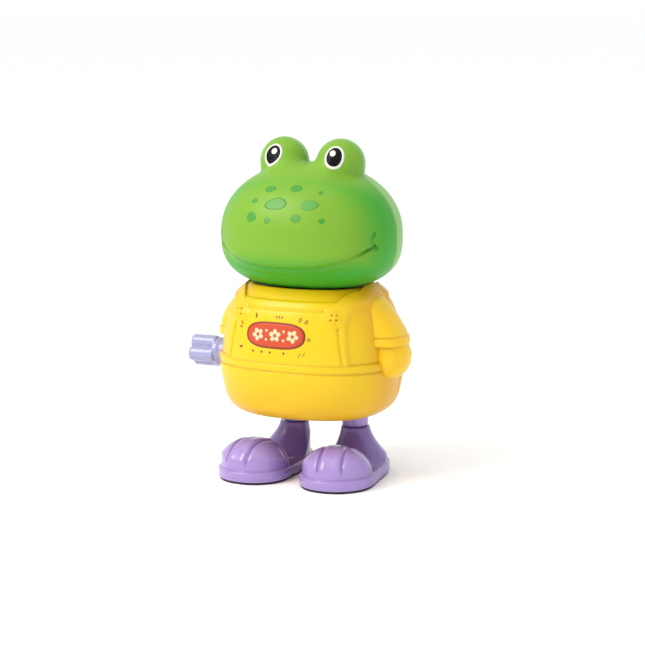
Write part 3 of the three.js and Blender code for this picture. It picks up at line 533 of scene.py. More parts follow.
def leg_form(p):
    """A leg's round post, with the thin shank that enters the boot."""
    x, y, z = p.T
    radius = np.hypot(np.abs(x) - LEG_X, y - LEG_Y)
    post = radius - LEG_RADIUS + ridge(z - LEG_RING - 0.75, 0.22, 0.2)
    post = shared(post, np.maximum(z - POST_TOP, LEG_RING + 0.1 - z), 0.4)
    shank = np.maximum.reduce([radius - SHANK_RADIUS, z - SHANK_TOP, SOCKET_FLOOR + 0.1 - z])
    return np.minimum(post, shank)


PIVOT, CRANK = np.array([9.0, 45.0]), np.array([9.0, 30.0])   # Y and Z of a leg's pivot and of the crank axle
PIVOT_HOLE, PIVOT_EYE, PIN_SLOT, CRANK_REACH = 1.32, 3.4, 1.2, 1.9
LEVER_X, LEVER_HALF, LEVER_FOOT = 9.7, 0.8, 20.5


def lever_form(p):
    """The flat lever above a leg's post, with its pivot eye and the slot that the crank pin works in."""
    x, y, z = p.T
    half = np.interp(z, [20, 24, 38, 44], [3.6, 4.2, 4.2, 3.4])
    middle = np.interp(z, [21, 26], [LEG_Y, PIVOT[0]])
    blade = np.minimum(np.maximum(np.abs(y - middle) - half, z - PIVOT[1]),
                       np.hypot(y - PIVOT[0], z - PIVOT[1]) - PIVOT_EYE)
    blade = np.maximum.reduce([blade, np.abs(np.abs(x) - LEVER_X) - LEVER_HALF, LEVER_FOOT - z])
    pivot_hole = PIVOT_HOLE - np.hypot(y - PIVOT[0], z - PIVOT[1])
    off_slot = z - np.clip(z, CRANK[1] - CRANK_REACH, CRANK[1] + CRANK_REACH)
    pin_slot = PIN_SLOT - np.hypot(y - CRANK[0], off_slot)
    return np.maximum.reduce([blade, pivot_hole, pin_slot])


def whole_leg_form(p):
    """A leg in one piece, from the shank to the pivot."""
    return np.minimum(leg_form(p), lever_form(p))


# ---------------------------------------------------------------- pieces

def one_side(form, sign):
    """A form of both sides kept only where X has the given sign."""
    return lambda p: np.maximum(form(p), -sign * p[:, 0])


def new_piece(name, points, faces, material, stands_for=(), body="housing"):
    """A shown piece, from points in the frog's millimetres, riding on its body."""
    mesh = bpy.data.meshes.new(name)
    placed = points * MM + FROG_ORIGIN
    mesh.from_pydata(placed.tolist(), [], faces.tolist() if hasattr(faces, "tolist") else faces)
    mesh.update()
    mesh.shade_smooth()
    piece = bpy.data.objects.new(name, mesh)
    bpy.context.scene.collection.objects.link(piece)
    mesh.materials.append(material)
    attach(piece, body)
    if stands_for:
        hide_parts(*stands_for)
    return piece


def moulded_piece(name, form, around, step, material, stands_for=None, body="housing", margin=1.2):
    """A piece wrapped round a form, inside the box of the CAD node that it stands for."""
    low, high = node_box(around)
    points, faces = skin(form, low - margin, high + margin, step)
    return new_piece(name, points, faces, material, stands_for or (around,), body)


INK_LIFT, INK_SINK = 0.02, 0.12          # a film of ink stands this far off the plastic and reaches this far in


def print_on(form, centre, facing, outlines, rings, lift=INK_LIFT):
    """A film of ink that follows a form. Each outline is drawn flat, in millimetres across and up from
    the centre, filled with that many rings and dropped on to the form along the facing direction."""
    facing = np.array(facing, float) / np.linalg.norm(facing)
    right = np.cross([0.0, 0.0, 1.0], facing)
    right /= np.linalg.norm(right)
    up = np.cross(facing, right)
    points, faces = [], []
    for outline in outlines:
        outline = np.array(outline, float)
        middle, count = outline.mean(axis=0), len(outline)
        rows = [middle[None]] + [middle + (outline - middle) * (ring / rings) for ring in range(1, rings + 1)]
        flat = np.vstack(rows)
        spots = np.array(centre) + flat[:, :1] * right + flat[:, 1:] * up + 4.0 * facing
        for _ in range(40):
            spots -= np.clip(form(spots), -1, 1)[:, None] * facing * 0.9
        away = slope(form, spots)
        away /= np.linalg.norm(away, axis=1, keepdims=True)
        start, layer = sum(len(p) for p in points), len(flat)
        points += [spots + away * lift, spots - away * INK_SINK]
        turn = np.arange(count)
        onward = (turn + 1) % count
        for top, base in ((True, start), (False, start + layer)):
            fan = [[base, base + 1 + a, base + 1 + b] for a, b in zip(turn, onward)]
            for ring in range(rings - 1):
                inner, outer = base + 1 + ring * count, base + 1 + (ring + 1) * count
                fan += [[inner + a, outer + a, outer + b, inner + b] for a, b in zip(turn, onward)]
            faces += fan if top else [face[::-1] for face in fan]
        rim_top, rim_low = start + 1 + (rings - 1) * count, start + layer + 1 + (rings - 1) * count
        faces += [[rim_top + a, rim_low + a, rim_low + b, rim_top + b] for a, b in zip(turn, onward)]
    return np.vstack(points), faces


def ellipse(width, height, at=(0, 0), tilt=0.0, count=36):
    """A closed oval outline, tilted by an angle in degrees."""
    turn = np.linspace(0, 2 * math.pi, count, endpoint=False)
    x, y = np.cos(turn) * width / 2, np.sin(turn) * height / 2
    c, s = math.cos(math.radians(tilt)), math.sin(math.radians(tilt))
    return np.stack([at[0] + x * c - y * s, at[1] + x * s + y * c], axis=1)


def lozenge(half_width, half_height):
    """A closed outline with nearly straight long sides and round ends."""
    turn = np.linspace(0, 2 * math.pi, 48, endpoint=False)
    c, s = np.cos(turn), np.sin(turn)
    x = half_width * np.sign(c) * np.abs(c) ** (2 / 3.2)
    y = half_height * np.sign(s) * np.abs(s) ** (2 / 2.4)
    return np.stack([x, y], axis=1)


# ---------------------------------------------------------------- materials

def add_node(tree, kind, inputs=(), **settings):
    """Adds one node, sets its properties, and gives each input a value or a link from a socket."""
    node = tree.nodes.new(kind)
    for key, value in settings.items():
        setattr(node, key, value)
    for key, value in dict(inputs).items():
        if isinstance(value, bpy.types.NodeSocket):
            tree.links.new(value, node.inputs[key])
        else:
            node.inputs[key].default_value = value
    return node


def per_mm(size):
    """The texture scale that gives features of a size in millimetres."""
    return 1 / (size * MM)


def start_material(name):
    """A node material with nothing in it but the object's own coordinates, in metres."""
    material = bpy.data.materials.new(name)
    material.use_nodes = True
    tree = material.node_tree
    tree.nodes.clear()
    place = add_node(tree, "ShaderNodeTexCoord").outputs["Object"]
    return material, tree, place


def close_material(tree, shader):
    """Links a finished shader to a new output."""
    add_node(tree, "ShaderNodeOutputMaterial", {"Surface": shader.outputs["BSDF"]})


def mix_colour(tree, share, first, second):
    """A colour between two others."""
    return add_node(tree, "ShaderNodeMix", {0: share, 6: first, 7: second}, data_type="RGBA").outputs[2]


def toned(colour, share):
    """A colour made darker or lighter by a share."""
    return [min(1, c * share) for c in colour[:3]] + [1]


CREVICE = 0.8          # width in millimetres of a pressed line that gets painted shade
CLOUD, WAVE, RUB = 14, 11, 9             # size in millimetres of clouded pigment, sink waves and rubbed patches


def moulded_plastic(name, colour, crevice_shade_colour, roughness, grain, coat=0.0, soft=0.0, painted_shade=None, shine=0.5):
    """Injection-moulded plastic: pigment that clouds slightly as it flows, a fine texture from the mould
    wall and patches that are a little shinier where hands rub it. Painted shade: a darker colour painted into
    the pressed lines and hollows that ambient occlusion finds, and, when given, a shaded colour painted on.
    The grain is the texture's size and height in millimetres. A real mould's texture is about 0.05 mm,
    too fine to show, so it is drawn coarser."""
    material, tree, place = start_material(name)
    flow = add_node(tree, "ShaderNodeTexNoise", {"Vector": place, "Scale": per_mm(CLOUD), "Detail": 2.0})
    clouded = mix_colour(tree, flow.outputs["Fac"], toned(colour, 0.955), toned(colour, 1.045))
    if painted_shade is not None:
        clouded = painted_shade(tree, place, clouded)
    # Painted shade: the crevice colour darkens the plastic wherever ambient occlusion finds a pressed line or
    # hollow.
    hollow = add_node(tree, "ShaderNodeAmbientOcclusion", {"Distance": CREVICE * MM}, samples=4, only_local=True)
    open_share = add_node(tree, "ShaderNodeMapRange", {"Value": hollow.outputs["AO"], "From Min": 0.45,
                                                       "From Max": 0.88})
    base = mix_colour(tree, open_share.outputs["Result"], crevice_shade_colour, clouded)
    rubbed = add_node(tree, "ShaderNodeTexNoise", {"Vector": place, "Scale": per_mm(RUB), "Detail": 3.0})
    gloss = add_node(tree, "ShaderNodeMapRange", {"Value": rubbed.outputs["Fac"], "To Min": roughness - 0.035,
                                                  "To Max": roughness + 0.045})
    texture = add_node(tree, "ShaderNodeTexNoise", {"Vector": place, "Scale": per_mm(grain[0]), "Detail": 2.0})
    waviness = add_node(tree, "ShaderNodeTexNoise", {"Vector": place, "Scale": per_mm(WAVE), "Detail": 0.0})
    uneven = add_node(tree, "ShaderNodeBump", {"Height": waviness.outputs["Fac"], "Distance": 0.09 * MM,
                                               "Strength": 0.5})
    bump = add_node(tree, "ShaderNodeBump", {"Height": texture.outputs["Fac"], "Distance": grain[1] * MM,
                                             "Strength": 0.6, "Normal": uneven.outputs["Normal"]})
    shader = add_node(tree, "ShaderNodeBsdfPrincipled", {
        "Base Color": base, "Roughness": gloss.outputs["Result"], "Normal": bump.outputs["Normal"],
        "IOR": 1.49, "Specular IOR Level": shine, "Coat Weight": coat, "Coat Roughness": 0.12,
        "Subsurface Weight": soft, "Subsurface Radius": (1.0, 0.6, 0.3), "Subsurface Scale": 0.8 * MM})
    close_material(tree, shader)
    return material


def painted_shading(shaded_colour, rise, reach, brow=None):
    """Painted shade: a shaded colour painted low down and towards the sides and back, fading out over a rise in
    height and a reach towards the front, both in millimetres, so the front looks lit. Above the brow the first
    colour shows all round."""
    def faded(tree, value, span):
        return add_node(tree, "ShaderNodeMapRange", {"Value": value, "From Min": span[0] * MM,
                                                     "From Max": span[1] * MM}, interpolation_type="SMOOTHSTEP")

    def shade(tree, place, clouded):
        parts = add_node(tree, "ShaderNodeSeparateXYZ", {"Vector": place})
        front = faded(tree, parts.outputs["Y"], reach).outputs["Result"]
        if brow is not None:
            top = faded(tree, parts.outputs["Z"], brow)
            front = add_node(tree, "ShaderNodeMath", {0: top.outputs["Result"], 1: front},
                             operation="MAXIMUM").outputs[0]
        height = faded(tree, parts.outputs["Z"], rise)
        light = add_node(tree, "ShaderNodeMath", {0: height.outputs["Result"], 1: front}, operation="MINIMUM")
        return mix_colour(tree, light.outputs[0], shaded_colour, clouded)
    return shade


def printed_ink(name, colour, roughness=0.42, second=None, swirl=6.0, shine=0.5):
    """Pad-printed ink: a thin, even film with a faint mottle, slightly shinier than the plastic under it. A
    second colour drifts through it: by default a slightly lighter tone where the ink is thin, and on the black eye
    ink a faint violet swirl, a painted reflection. The real mottle is too fine to show, so it is drawn at 0.25 mm."""
    material, tree, place = start_material(name)
    drift = add_node(tree, "ShaderNodeTexNoise", {"Vector": place, "Scale": per_mm(swirl), "Detail": 3.0,
                                                  "Distortion": 1.2})
    band = add_node(tree, "ShaderNodeMapRange", {"Value": drift.outputs["Fac"], "From Min": 0.45,
                                                 "From Max": 0.75})
    base = mix_colour(tree, band.outputs["Result"], colour, second or toned(colour, 1.08))
    dots = add_node(tree, "ShaderNodeTexNoise", {"Vector": place, "Scale": per_mm(0.25), "Detail": 1.0})
    bump = add_node(tree, "ShaderNodeBump", {"Height": dots.outputs["Fac"], "Distance": 0.01 * MM})
    gloss = add_node(tree, "ShaderNodeMapRange", {"Value": dots.outputs["Fac"], "To Min": roughness - 0.04,
                                                  "To Max": roughness + 0.04})
    shader = add_node(tree, "ShaderNodeBsdfPrincipled", {
        "Base Color": base, "Roughness": gloss.outputs["Result"], "Normal": bump.outputs["Normal"], "IOR": 1.5,
        "Specular IOR Level": shine})
    close_material(tree, shader)
    return material


def plated_steel(name):
    """Zinc-plated steel, turned: a blue-grey metal with fine lines from the lathe and a soft shine. The real
    lines are about 0.05 mm apart, too fine to show, so they are drawn at 0.3 mm."""
    material, tree, place = start_material(name)
    stretched = add_node(tree, "ShaderNodeMapping", {"Vector": place, "Scale": (0.08, 1, 1)})
    lines = add_node(tree, "ShaderNodeTexNoise", {"Vector": stretched.outputs["Vector"], "Scale": per_mm(0.3),
                                                  "Detail": 2.0})
    tone = mix_colour(tree, lines.outputs["Fac"], to_linear("#8f9297"), to_linear("#b9bcc0"))
    gloss = add_node(tree, "ShaderNodeMapRange", {"Value": lines.outputs["Fac"], "To Min": 0.24, "To Max": 0.42})
    bump = add_node(tree, "ShaderNodeBump", {"Height": lines.outputs["Fac"], "Distance": 0.01 * MM})
    shader = add_node(tree, "ShaderNodeBsdfPrincipled", {
        "Base Color": tone, "Metallic": 1.0, "Roughness": gloss.outputs["Result"],
        "Normal": bump.outputs["Normal"]})
    close_material(tree, shader)
    return material


# ---------------------------------------------------------------- settings

def colour_setting(name, description, colour):
    """A colour in the sidebar, from its sRGB hex value."""
    return bpy.props.FloatVectorProperty(name=name, description=description, subtype="COLOR", size=4,
                                         min=0, max=1, default=to_linear(colour))


def length_setting(name, description, millimetres):
    """A length in the sidebar."""
    return bpy.props.FloatProperty(name=name, description=description, unit="LENGTH", precision=5,
                                   min=0.0, default=millimetres * MM)


class FrogColours(bpy.types.PropertyGroup):
    """The plastics and inks that a user may want in another colour."""
    skin: colour_setting("Skin", "Green plastic of the face", "#72a128")
    # Painted shade: the jaw colour is painted under the mouth and at the sides of the face.
    jaw: colour_setting("Jaw", "Deeper green under the mouth and on the cheeks", "#349820")
    clothes: colour_setting("Clothes", "Yellow plastic of the body", "#dcbb12")
    # Painted shade: the boots colour is painted at the boots' sides and ankles; the paler toe fronts are painted
    # sheen.
    boots: colour_setting("Boots", "Purple of the boots' sides and ankles", "#7158a2")
    knob: colour_setting("Knob", "Lavender plastic of the winding knob", "#9698c2")
    badge: colour_setting("Badge", "Orange ink of the print on the bib", "#be4017")


class FrogSizes(bpy.types.PropertyGroup):
    """Sizes of the prints and of the meshes."""
    shell_step: length_setting("Shell mesh", "Size of a mesh face on the head and body", 0.40)
    part_step: length_setting("Part mesh", "Size of a mesh face on the boots, arms and legs", 0.34)
    eye_width: length_setting("Eye width", "Width of the white of an eye", 5.9)
    eye_height: length_setting("Eye height", "Height of the white of an eye", 7.4)
    pupil_width: length_setting("Pupil width", "Width of the black oval", 4.6)
    pupil_height: length_setting("Pupil height", "Height of the black oval", 5.85)
    badge_width: length_setting("Badge width", "Length of the print on the bib", 19.2)


# ---------------------------------------------------------------- one operator for each piece or group

class FROG_OT_head(bpy.types.Operator):
    """Builds the head's front and back shells"""
    bl_idname = "frog.head"
    bl_label = "Head shells"

    def execute(self, context):
        colours, step = context.scene.frog_colours, context.scene.frog_sizes.shell_step / MM
        # Polypropylene from a fine-blasted mould: broad, dull highlights and a little light under the skin, with a
        # deeper green painted under the mouth and at the sides of the face as painted shade.
        front = moulded_plastic("satin_green_polypropylene", colours.skin, to_linear("#27701f"), 0.40,
                                (0.4, 0.012), soft=0.12, shine=0.32,
                                painted_shade=painted_shading(colours.jaw, (63.5, 71), (-6, -19), (84, 93)))
        # The same plastic without the painted shade, in a paler, duller green that is painted light along the back
        # shell's edge.
        back = moulded_plastic("satin_green_polypropylene_back_painted_rim_light", to_linear("#7cb35e"), to_linear("#27701f"), 0.44,
                               (0.4, 0.012), soft=0.12)
        moulded_piece("frog_head_front", half_shell(head_form, head_inside, 0.0, True),
                      "head_front_shell", step, front)
        moulded_piece("frog_head_back", half_shell(head_form, head_inside, 0.0, False),
                      "head_rear_shell", step, back)
        return {"FINISHED"}


EYE_PLACE = (9.95, 96.7)                 # distance from the middle and level of an eye
# middle of each freckle, its width and height, and which of three inks it is printed in
FRECKLES = [((-5.6, 87.8), 3.6, 2.3, "dark"), ((2.6, 88.3), 3.7, 2.6, "dark"), ((10.0, 87.3), 1.5, 1.6, "dark"),
            ((-9.8, 84.4), 2.2, 1.7, "dark"), ((-2.4, 84.0), 7.0, 3.8, "pale"), ((8.0, 84.0), 5.3, 3.2, "cool"),
            ((-10.0, 79.9), 3.4, 3.0, "dark"), ((-4.3, 79.2), 2.1, 1.8, "pale"), ((4.6, 80.2), 3.2, 2.4, "pale"),
            ((12.1, 79.7), 2.0, 1.6, "dark")]


def on_surface(form, x, z):
    """The point of a form's front at a given X and Z, and the way the form faces there."""
    spot = np.array([[x, -40.0, z]])
    for _ in range(80):
        spot[:, 1] += np.clip(form(spot), -1, 1) * 0.8
    return spot[0], slope(form, spot)[0]


class FROG_OT_face_print(bpy.types.Operator):
    """Prints the eyes and the freckles on the head"""
    bl_idname = "frog.face_print"
    bl_label = "Eyes and freckles"

    def execute(self, context):
        sizes = context.scene.frog_sizes
        # Glossy pad-printing inks: a warm white that stays just short of pure, and an even black with a soft
        # highlight and a faint violet swirl drifted through it as a painted reflection.
        white = printed_ink("gloss_white_eye_ink", to_linear("#d4d4ce"), 0.36)
        black = printed_ink("gloss_black_eye_ink", to_linear("#030305"), 0.42, to_linear("#120e1c"), 2.2, 0.12)
        for side, name, glint_at in ((-1, "right", (0.35, 1.15)), (1, "left", (-0.55, 1.2))):
            spot, facing = on_surface(head_form, side * EYE_PLACE[0], EYE_PLACE[1])
            tilt = -4 if side < 0 else -6
            for part, ink, lift, outline in (
                    ("white", white, 0.03, ellipse(sizes.eye_width / MM, sizes.eye_height / MM,
                                                   tilt=tilt, count=64)),
                    ("pupil", black, 0.05, ellipse(sizes.pupil_width / MM, sizes.pupil_height / MM,
                                                   (-0.05 * side, 0.1), tilt, 64)),
                    ("glint", white, 0.07, ellipse(1.75, 1.9, glint_at, count=32))):
                points, faces = print_on(head_form, spot, facing, [outline], 8, lift)
                new_piece(f"{name}_eye_{part}", points, faces, ink)
        # Three mixes of one thin green ink, so that some freckles are fainter than others.
        inks = {"dark": printed_ink("green_freckle_ink", to_linear("#36891c"), 0.42),
                "pale": printed_ink("pale_green_freckle_ink", to_linear("#468b27"), 0.42),
                "cool": printed_ink("cool_green_freckle_ink", to_linear("#4c9134"), 0.42)}
        for shade, ink in inks.items():
            blobs, surfaces = [], []
            for (x, z), width, height, kind in FRECKLES:
                if kind != shade:
                    continue
                spot, facing = on_surface(head_form, x, z)
                outline = ellipse(width, height, tilt=8 - 2 * (x > 5))
                wobble = 1 + 0.05 * np.sin(np.arange(len(outline)) * 2 * math.pi * 3 / len(outline) + x)
                points, faces = print_on(head_form, spot, facing, [outline * wobble[:, None]], 6)
                surfaces += [[k + sum(len(b) for b in blobs) for k in face] for face in faces]
                blobs.append(points)
            new_piece(f"{shade}_freckles", np.vstack(blobs), surfaces, ink)
        return {"FINISHED"}


class FROG_OT_body(bpy.types.Operator):
    """Builds the dressed body's front and back shells"""
    bl_idname = "frog.body"
    bl_label = "Body shells"

    def execute(self, context):
        colours, step = context.scene.frog_colours, context.scene.frog_sizes.shell_step / MM
        # Polystyrene from a polished mould: warm yellow and an even, soft gloss under a thin lacquer, with a more
        # orange painted shade low on the belly and at the sides, and painted shade in the pressed lines.
        # Painted shade: the deeper orange is painted below the bib and towards the sides and back.
        shade = painted_shading(to_linear("#d6a00a"), (12, 40), (-5, -19))
        clothes = moulded_plastic("gloss_yellow_polystyrene", colours.clothes, to_linear("#b5740a"), 0.33,
                                  (0.5, 0.006), coat=0.08, soft=0.1, painted_shade=shade, shine=0.3)
        moulded_piece("frog_body_front", half_shell(body_form, body_inside, BODY_SEAM, True, body_openings),
                      "body_front_shell", step, clothes)
        moulded_piece("frog_body_back", rear_shell_form, "body_rear_shell", step, clothes)
        return {"FINISHED"}


PETALS, PETAL_SIZE, PETAL_DISTANCE = 5, (1.75, 1.3), 1.05
FLOWER_PLACES = (-5.6, 0.0, 5.6)         # across the badge


def flower(across, turn):
    """Outlines of a small flower's petals, turned by an angle in degrees."""
    petals = []
    for petal in range(PETALS):
        angle = turn + petal * 360 / PETALS
        a = math.radians(angle)
        centre = across + PETAL_DISTANCE * math.cos(a), PETAL_DISTANCE * math.sin(a)
        petals.append(ellipse(*PETAL_SIZE, centre, angle, 20))
    return petals


class FROG_OT_bib_print(bpy.types.Operator):
    """Prints a plain flower badge on the bib"""
    bl_idname = "frog.bib_print"
    bl_label = "Bib print"

    def execute(self, context):
        half = context.scene.frog_sizes.badge_width / MM / 2
        spot, facing = on_surface(body_form, -2.0, 45.6)
        facing = np.array([facing[0] * 0.5, facing[1], 0.0])
        # Matt pad-printing inks: a brown rim, an orange field, cream flowers and a faint olive that lets the
        # yellow through.
        brown = printed_ink("brown_bib_ink", to_linear("#842a0d"), 0.4)
        orange = printed_ink("orange_bib_ink", context.scene.frog_colours.badge, 0.4)
        cream = printed_ink("cream_bib_ink", to_linear("#cbc39a"), 0.4)
        olive = printed_ink("faint_olive_bib_ink", to_linear("#a2841d"), 0.4)
        flowers = [petal for u in FLOWER_PLACES for petal in flower(u, 18 + 8 * u)]
        dots = [ellipse(0.8, 0.8, (u, v), count=14) for u in (-2.8, 2.8) for v in (-1.3, 1.3)]
        ticks = [ellipse(1.3, 0.55, (-11.6, 2.7), -55, 14), ellipse(1.1, 0.5, (-11.9, 1.6), -30, 14),
                 ellipse(1.3, 0.7, (-11.6, -4.2), 30, 14), ellipse(0.6, 1.5, (-6.7, 5.3), 12, 14)]
        ticks += [ellipse(0.35, 1.0, (u, 5.3), tilt, 12) for u, tilt in ((0.1, 25), (0.9, 0), (1.8, -25))]
        ticks += [ellipse(0.7, 0.7, (u, -5.0), count=14) for u in (-7.2, -4.2, -1.4, 3.0)]
        sparks = [ellipse(1.1, 1.5, (7.6, 4.9), -20, 18), ellipse(1.1, 1.4, (9.5, 4.4), -30, 18),
                  ellipse(1.2, 1.2, (10.6, -0.6), 0, 18), ellipse(0.4, 1.6, (8.0, -5.2), -30, 12),
                  ellipse(0.4, 1.4, (9.3, -4.9), -30, 12)]
        hearts = [ellipse(1.0, 1.0, (u, 0), count=16) for u in FLOWER_PLACES]
        for name, ink, lift, outlines in (
                ("bib_badge_rim", brown, 0.03, [lozenge(half, 3.9)]),
                ("bib_badge", orange, 0.05, [lozenge(half - 0.55, 3.35)]),
                ("bib_flowers", cream, 0.075, flowers + dots), ("bib_flower_hearts", orange, 0.1, hearts),
                ("bib_ticks", brown, 0.03, ticks), ("bib_sparks", olive, 0.03, sparks)):
            rings = 10 if len(outlines) == 1 else 3
            points, faces = print_on(body_form, spot, facing, outlines, rings, lift)
            new_piece(name, points, faces, ink)
        return {"FINISHED"}


class FROG_OT_arms(bpy.types.Operator):
    """Builds the left arm with its mitten and the right sleeve"""
    bl_idname = "frog.arms"
    bl_label = "Arms"

    def execute(self, context):
        step = context.scene.frog_sizes.part_step / MM
        # The body's polystyrene with the same gloss, in a lighter, purer yellow that is painted light for the lit
        # arms, and with no painted shade.
        clothes = moulded_plastic("gloss_yellow_polystyrene_arms_painted_light", to_linear("#e6b914"), to_linear("#b5740a"),
                                  0.33, (0.5, 0.006), coat=0.08, soft=0.1, shine=0.3)
        for side, sign in (("left", 1), ("right", -1)):
            form = one_side(lambda p, s=sign: arm_form(p, s > 0), sign)
            moulded_piece(f"frog_{side}_arm", form, f"{side}_arm", step, clothes)
        return {"FINISHED"}


class FROG_OT_knob(bpy.types.Operator):
    """Builds the winding knob"""
    bl_idname = "frog.knob"
    bl_label = "Winding knob"

    def execute(self, context):
        # Unpainted polystyrene, polished by fingers: small, clear highlights along the lobes.
        lavender = moulded_plastic("gloss_lavender_polystyrene", context.scene.frog_colours.knob,
                                   to_linear("#5f5c94"), 0.24, (0.5, 0.004), coat=0.3, soft=0.15)
        moulded_piece("frog_knob", knob_form, "winding_knob", KNOB_STEP, lavender,
                      body="winder")
        return {"FINISHED"}


class FROG_OT_feet(bpy.types.Operator):
    """Builds both legs, boots and soles"""
    bl_idname = "frog.feet"
    bl_label = "Legs, boots and soles"

    def execute(self, context):
        step = context.scene.frog_sizes.part_step / MM
        # Polished polystyrene: sharp highlights, a paler purple painted where the toe caps turn to the front as
        # painted sheen, and a deeper purple painted at the sides and ankles as painted shade.
        painted_sheen_purple, crevice_shade_colour = to_linear("#9981c0"), to_linear("#38205f")
        purple = moulded_plastic("gloss_purple_polystyrene", painted_sheen_purple, crevice_shade_colour, 0.22, (0.5, 0.004), coat=0.35, soft=0.08,
                                 painted_shade=painted_shading(context.scene.frog_colours.boots, (-1, 0), (-8, -20)))
        # The legs' polystyrene: as glossy, in a paler purple all over that is painted light, lifting the legs out
        # of the body's shadow.
        upper = moulded_plastic("gloss_purple_polystyrene_legs_painted_light", to_linear("#a78fd6"), crevice_shade_colour, 0.22, (0.5, 0.004),
                                coat=0.35, soft=0.08)
        # Moulded rubber: nearly black, with no highlight and a grain that is coarse enough to see. The black plate
        # also stands in for the contact shadow under the boots: partly painted shadow.
        rubber = moulded_plastic("matt_black_sole_and_painted_shadow", to_linear("#101317"), to_linear("#07090b"), 0.7,
                                 (0.3, 0.03))
        for side, sign in (("left", 1), ("right", -1)):
            body = side + "_foot"
            moulded_piece(f"frog_{side}_boot", one_side(boot_form, sign), side + "_boot", step, purple,
                          body=body)
            moulded_piece(f"frog_{side}_leg", one_side(whole_leg_form, sign), side + "_leg", step, upper,
                          body=body)
            moulded_piece(f"frog_{side}_sole", one_side(sole_form, sign), side + "_sole", step, rubber,
                          body=body, margin=0.7)
        return {"FINISHED"}


class FROG_OT_clockwork(bpy.types.Operator):
    """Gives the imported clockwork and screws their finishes"""
    bl_idname = "frog.clockwork"
    bl_label = "Clockwork finishes"

    def execute(self, context):
        # Acetal for the gears and the gearbox: milky, waxy off-white with a low shine.
        acetal = moulded_plastic("natural_acetal", to_linear("#cfccc0"), to_linear("#8f8b78"), 0.36, (0.4, 0.006),
                                 soft=0.2)
        # Zinc-plated steel for the screws, arbors and spring: the only metal here, grey with soft streaks.
        steel = plated_steel("zinc_plated_steel")
        finish = {"white_plastic": acetal, "steel": steel}
        for part in frame["record"]["subparts"]:
            if part["material_slot"] not in finish:
                continue
            mesh = frame["nodes"][part["node"]].data
            for slot in range(len(mesh.materials)):
                mesh.materials[slot] = finish[part["material_slot"]]
        return {"FINISHED"}


VIEW_AZIMUTH, VIEW_ELEVATION = math.radians(24), math.radians(10)
VIEW_TARGET = np.array([2.88, 1.28, 46.1])
VIEW_DISTANCE, VIEW_WIDTH, SENSOR = 650.0, 193.5, 36.0   # the sensor's width is the camera's own millimetres
FLOOR_RADIUS, FLOOR_LEVEL = 4000, -0.02
# name, azimuth and elevation in degrees, distance and size in millimetres, watts and colour of each soft box
SOFT_BOXES = [("key_softbox", -38, 42, 620, 330, 2.5, "#fffaf0"),
              ("top_softbox", 10, 82, 700, 400, 0.4, "#ffffff")]


def from_angles(azimuth, elevation, distance):
    """A place at a distance in millimetres from the view's target, at the given angles."""
    away = np.array([math.sin(azimuth) * math.cos(elevation), -math.cos(azimuth) * math.cos(elevation),
                     math.sin(elevation)])
    return Vector((VIEW_TARGET + away * distance) * MM + FROG_ORIGIN)


def aim(thing):
    """Turns a lamp or the camera to the view's target."""
    towards = Vector(VIEW_TARGET * MM + FROG_ORIGIN) - thing.location
    thing.rotation_euler = towards.to_track_quat("-Z", "Y").to_euler()


def soft_light(name, azimuth, elevation, distance, size, watts, colour):
    """A square soft box that faces the frog."""
    lamp = bpy.data.lights.new(name, "AREA")
    lamp.shape, lamp.size, lamp.energy = "SQUARE", size * MM, watts
    lamp.color = to_linear(colour)[:3]
    thing = bpy.data.objects.new(name, lamp)
    bpy.context.scene.collection.objects.link(thing)
    thing.location = from_angles(math.radians(azimuth), math.radians(elevation), distance)
    aim(thing)


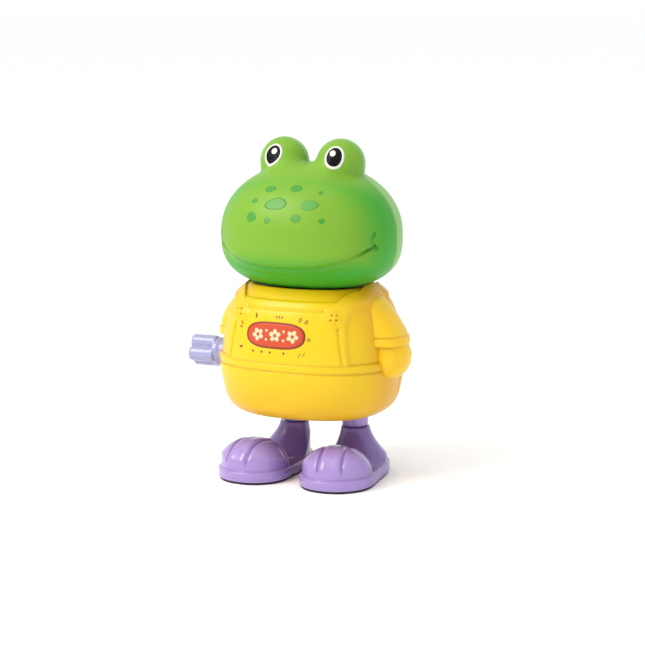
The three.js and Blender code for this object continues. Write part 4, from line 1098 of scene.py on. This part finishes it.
class FROG_OT_stage(bpy.types.Operator):
    """Adds the pale floor, the soft studio lights and the camera"""
    bl_idname = "frog.stage"
    bl_label = "Floor, lights and camera"

    def execute(self, context):
        scene = context.scene
        # Uncoated white paper: a matt, even white. Its fibres are too fine to show, so they are drawn as a
        # faint mottle of 1.5 mm.
        material, tree, place = start_material("pale_matt_paper_sweep")
        fibre = add_node(tree, "ShaderNodeTexNoise", {"Vector": place, "Scale": per_mm(1.5), "Detail": 2.0})
        tone = mix_colour(tree, fibre.outputs["Fac"], to_linear("#fdfdfd"), to_linear("#ffffff"))
        close_material(tree, add_node(tree, "ShaderNodeBsdfPrincipled", {"Base Color": tone, "Roughness": 0.9}))
        turn = np.linspace(0, 2 * math.pi, 96, endpoint=False)
        rim = np.stack([np.cos(turn), np.sin(turn), turn * 0], axis=1) * FLOOR_RADIUS
        rim[:, 2] = FLOOR_LEVEL
        mesh = bpy.data.meshes.new("paper_floor")
        mesh.from_pydata((rim * MM + FROG_ORIGIN).tolist(), [], [list(range(len(rim)))])
        mesh.materials.append(material)
        floor = bpy.data.objects.new("paper_floor", mesh)
        scene.collection.objects.link(floor)

        world = bpy.data.worlds.new("studio_air")
        world.use_nodes = True
        air = world.node_tree.nodes["Background"]
        air.inputs["Color"].default_value = to_linear("#ffffff")
        air.inputs["Strength"].default_value = 1.0
        scene.world = world
        for box in SOFT_BOXES:
            soft_light(*box)

        camera = bpy.data.cameras.new("view")
        camera.sensor_width = SENSOR
        camera.lens = SENSOR * VIEW_DISTANCE / VIEW_WIDTH
        camera.clip_start, camera.clip_end = 0.05, 20
        eye = bpy.data.objects.new("view", camera)
        scene.collection.objects.link(eye)
        eye.location = from_angles(VIEW_AZIMUTH, VIEW_ELEVATION, VIEW_DISTANCE)
        aim(eye)
        scene.camera = eye
        scene.view_settings.view_transform = "Standard"
        return {"FINISHED"}


class FROG_PT_sidebar(bpy.types.Panel):
    """Lists the frog's settings and building steps in the sidebar"""
    bl_idname = "FROG_PT_sidebar"
    bl_label = "Wind-up frog"
    bl_space_type = "VIEW_3D"
    bl_region_type = "UI"
    bl_category = "Frog"

    def draw(self, context):
        for group in (context.scene.frog_sizes, context.scene.frog_colours):
            for name in group.__annotations__:
                self.layout.prop(group, name)
        for step in STEPS:
            self.layout.operator(step.bl_idname)


STEPS = (FROG_OT_head, FROG_OT_face_print, FROG_OT_body, FROG_OT_bib_print, FROG_OT_arms, FROG_OT_knob,
         FROG_OT_feet, FROG_OT_clockwork, FROG_OT_stage)
CLASSES = (FrogColours, FrogSizes, *STEPS, FROG_PT_sidebar)


def register():
    """Makes the settings, the building steps and the panel known."""
    for item in CLASSES:
        bpy.utils.register_class(item)
    bpy.types.Scene.frog_colours = bpy.props.PointerProperty(type=FrogColours)
    bpy.types.Scene.frog_sizes = bpy.props.PointerProperty(type=FrogSizes)


def unregister():
    """Takes them away again."""
    del bpy.types.Scene.frog_sizes, bpy.types.Scene.frog_colours
    for item in reversed(CLASSES):
        bpy.utils.unregister_class(item)


def main():
    """Builds everything in order."""
    register()
    for step in STEPS:
        area, name = step.bl_idname.split(".")
        result = getattr(getattr(bpy.ops, area), name)()
        if result != {"FINISHED"}:
            raise RuntimeError(f"{step.bl_label} was not built")


if __name__ == "__main__":
    main()
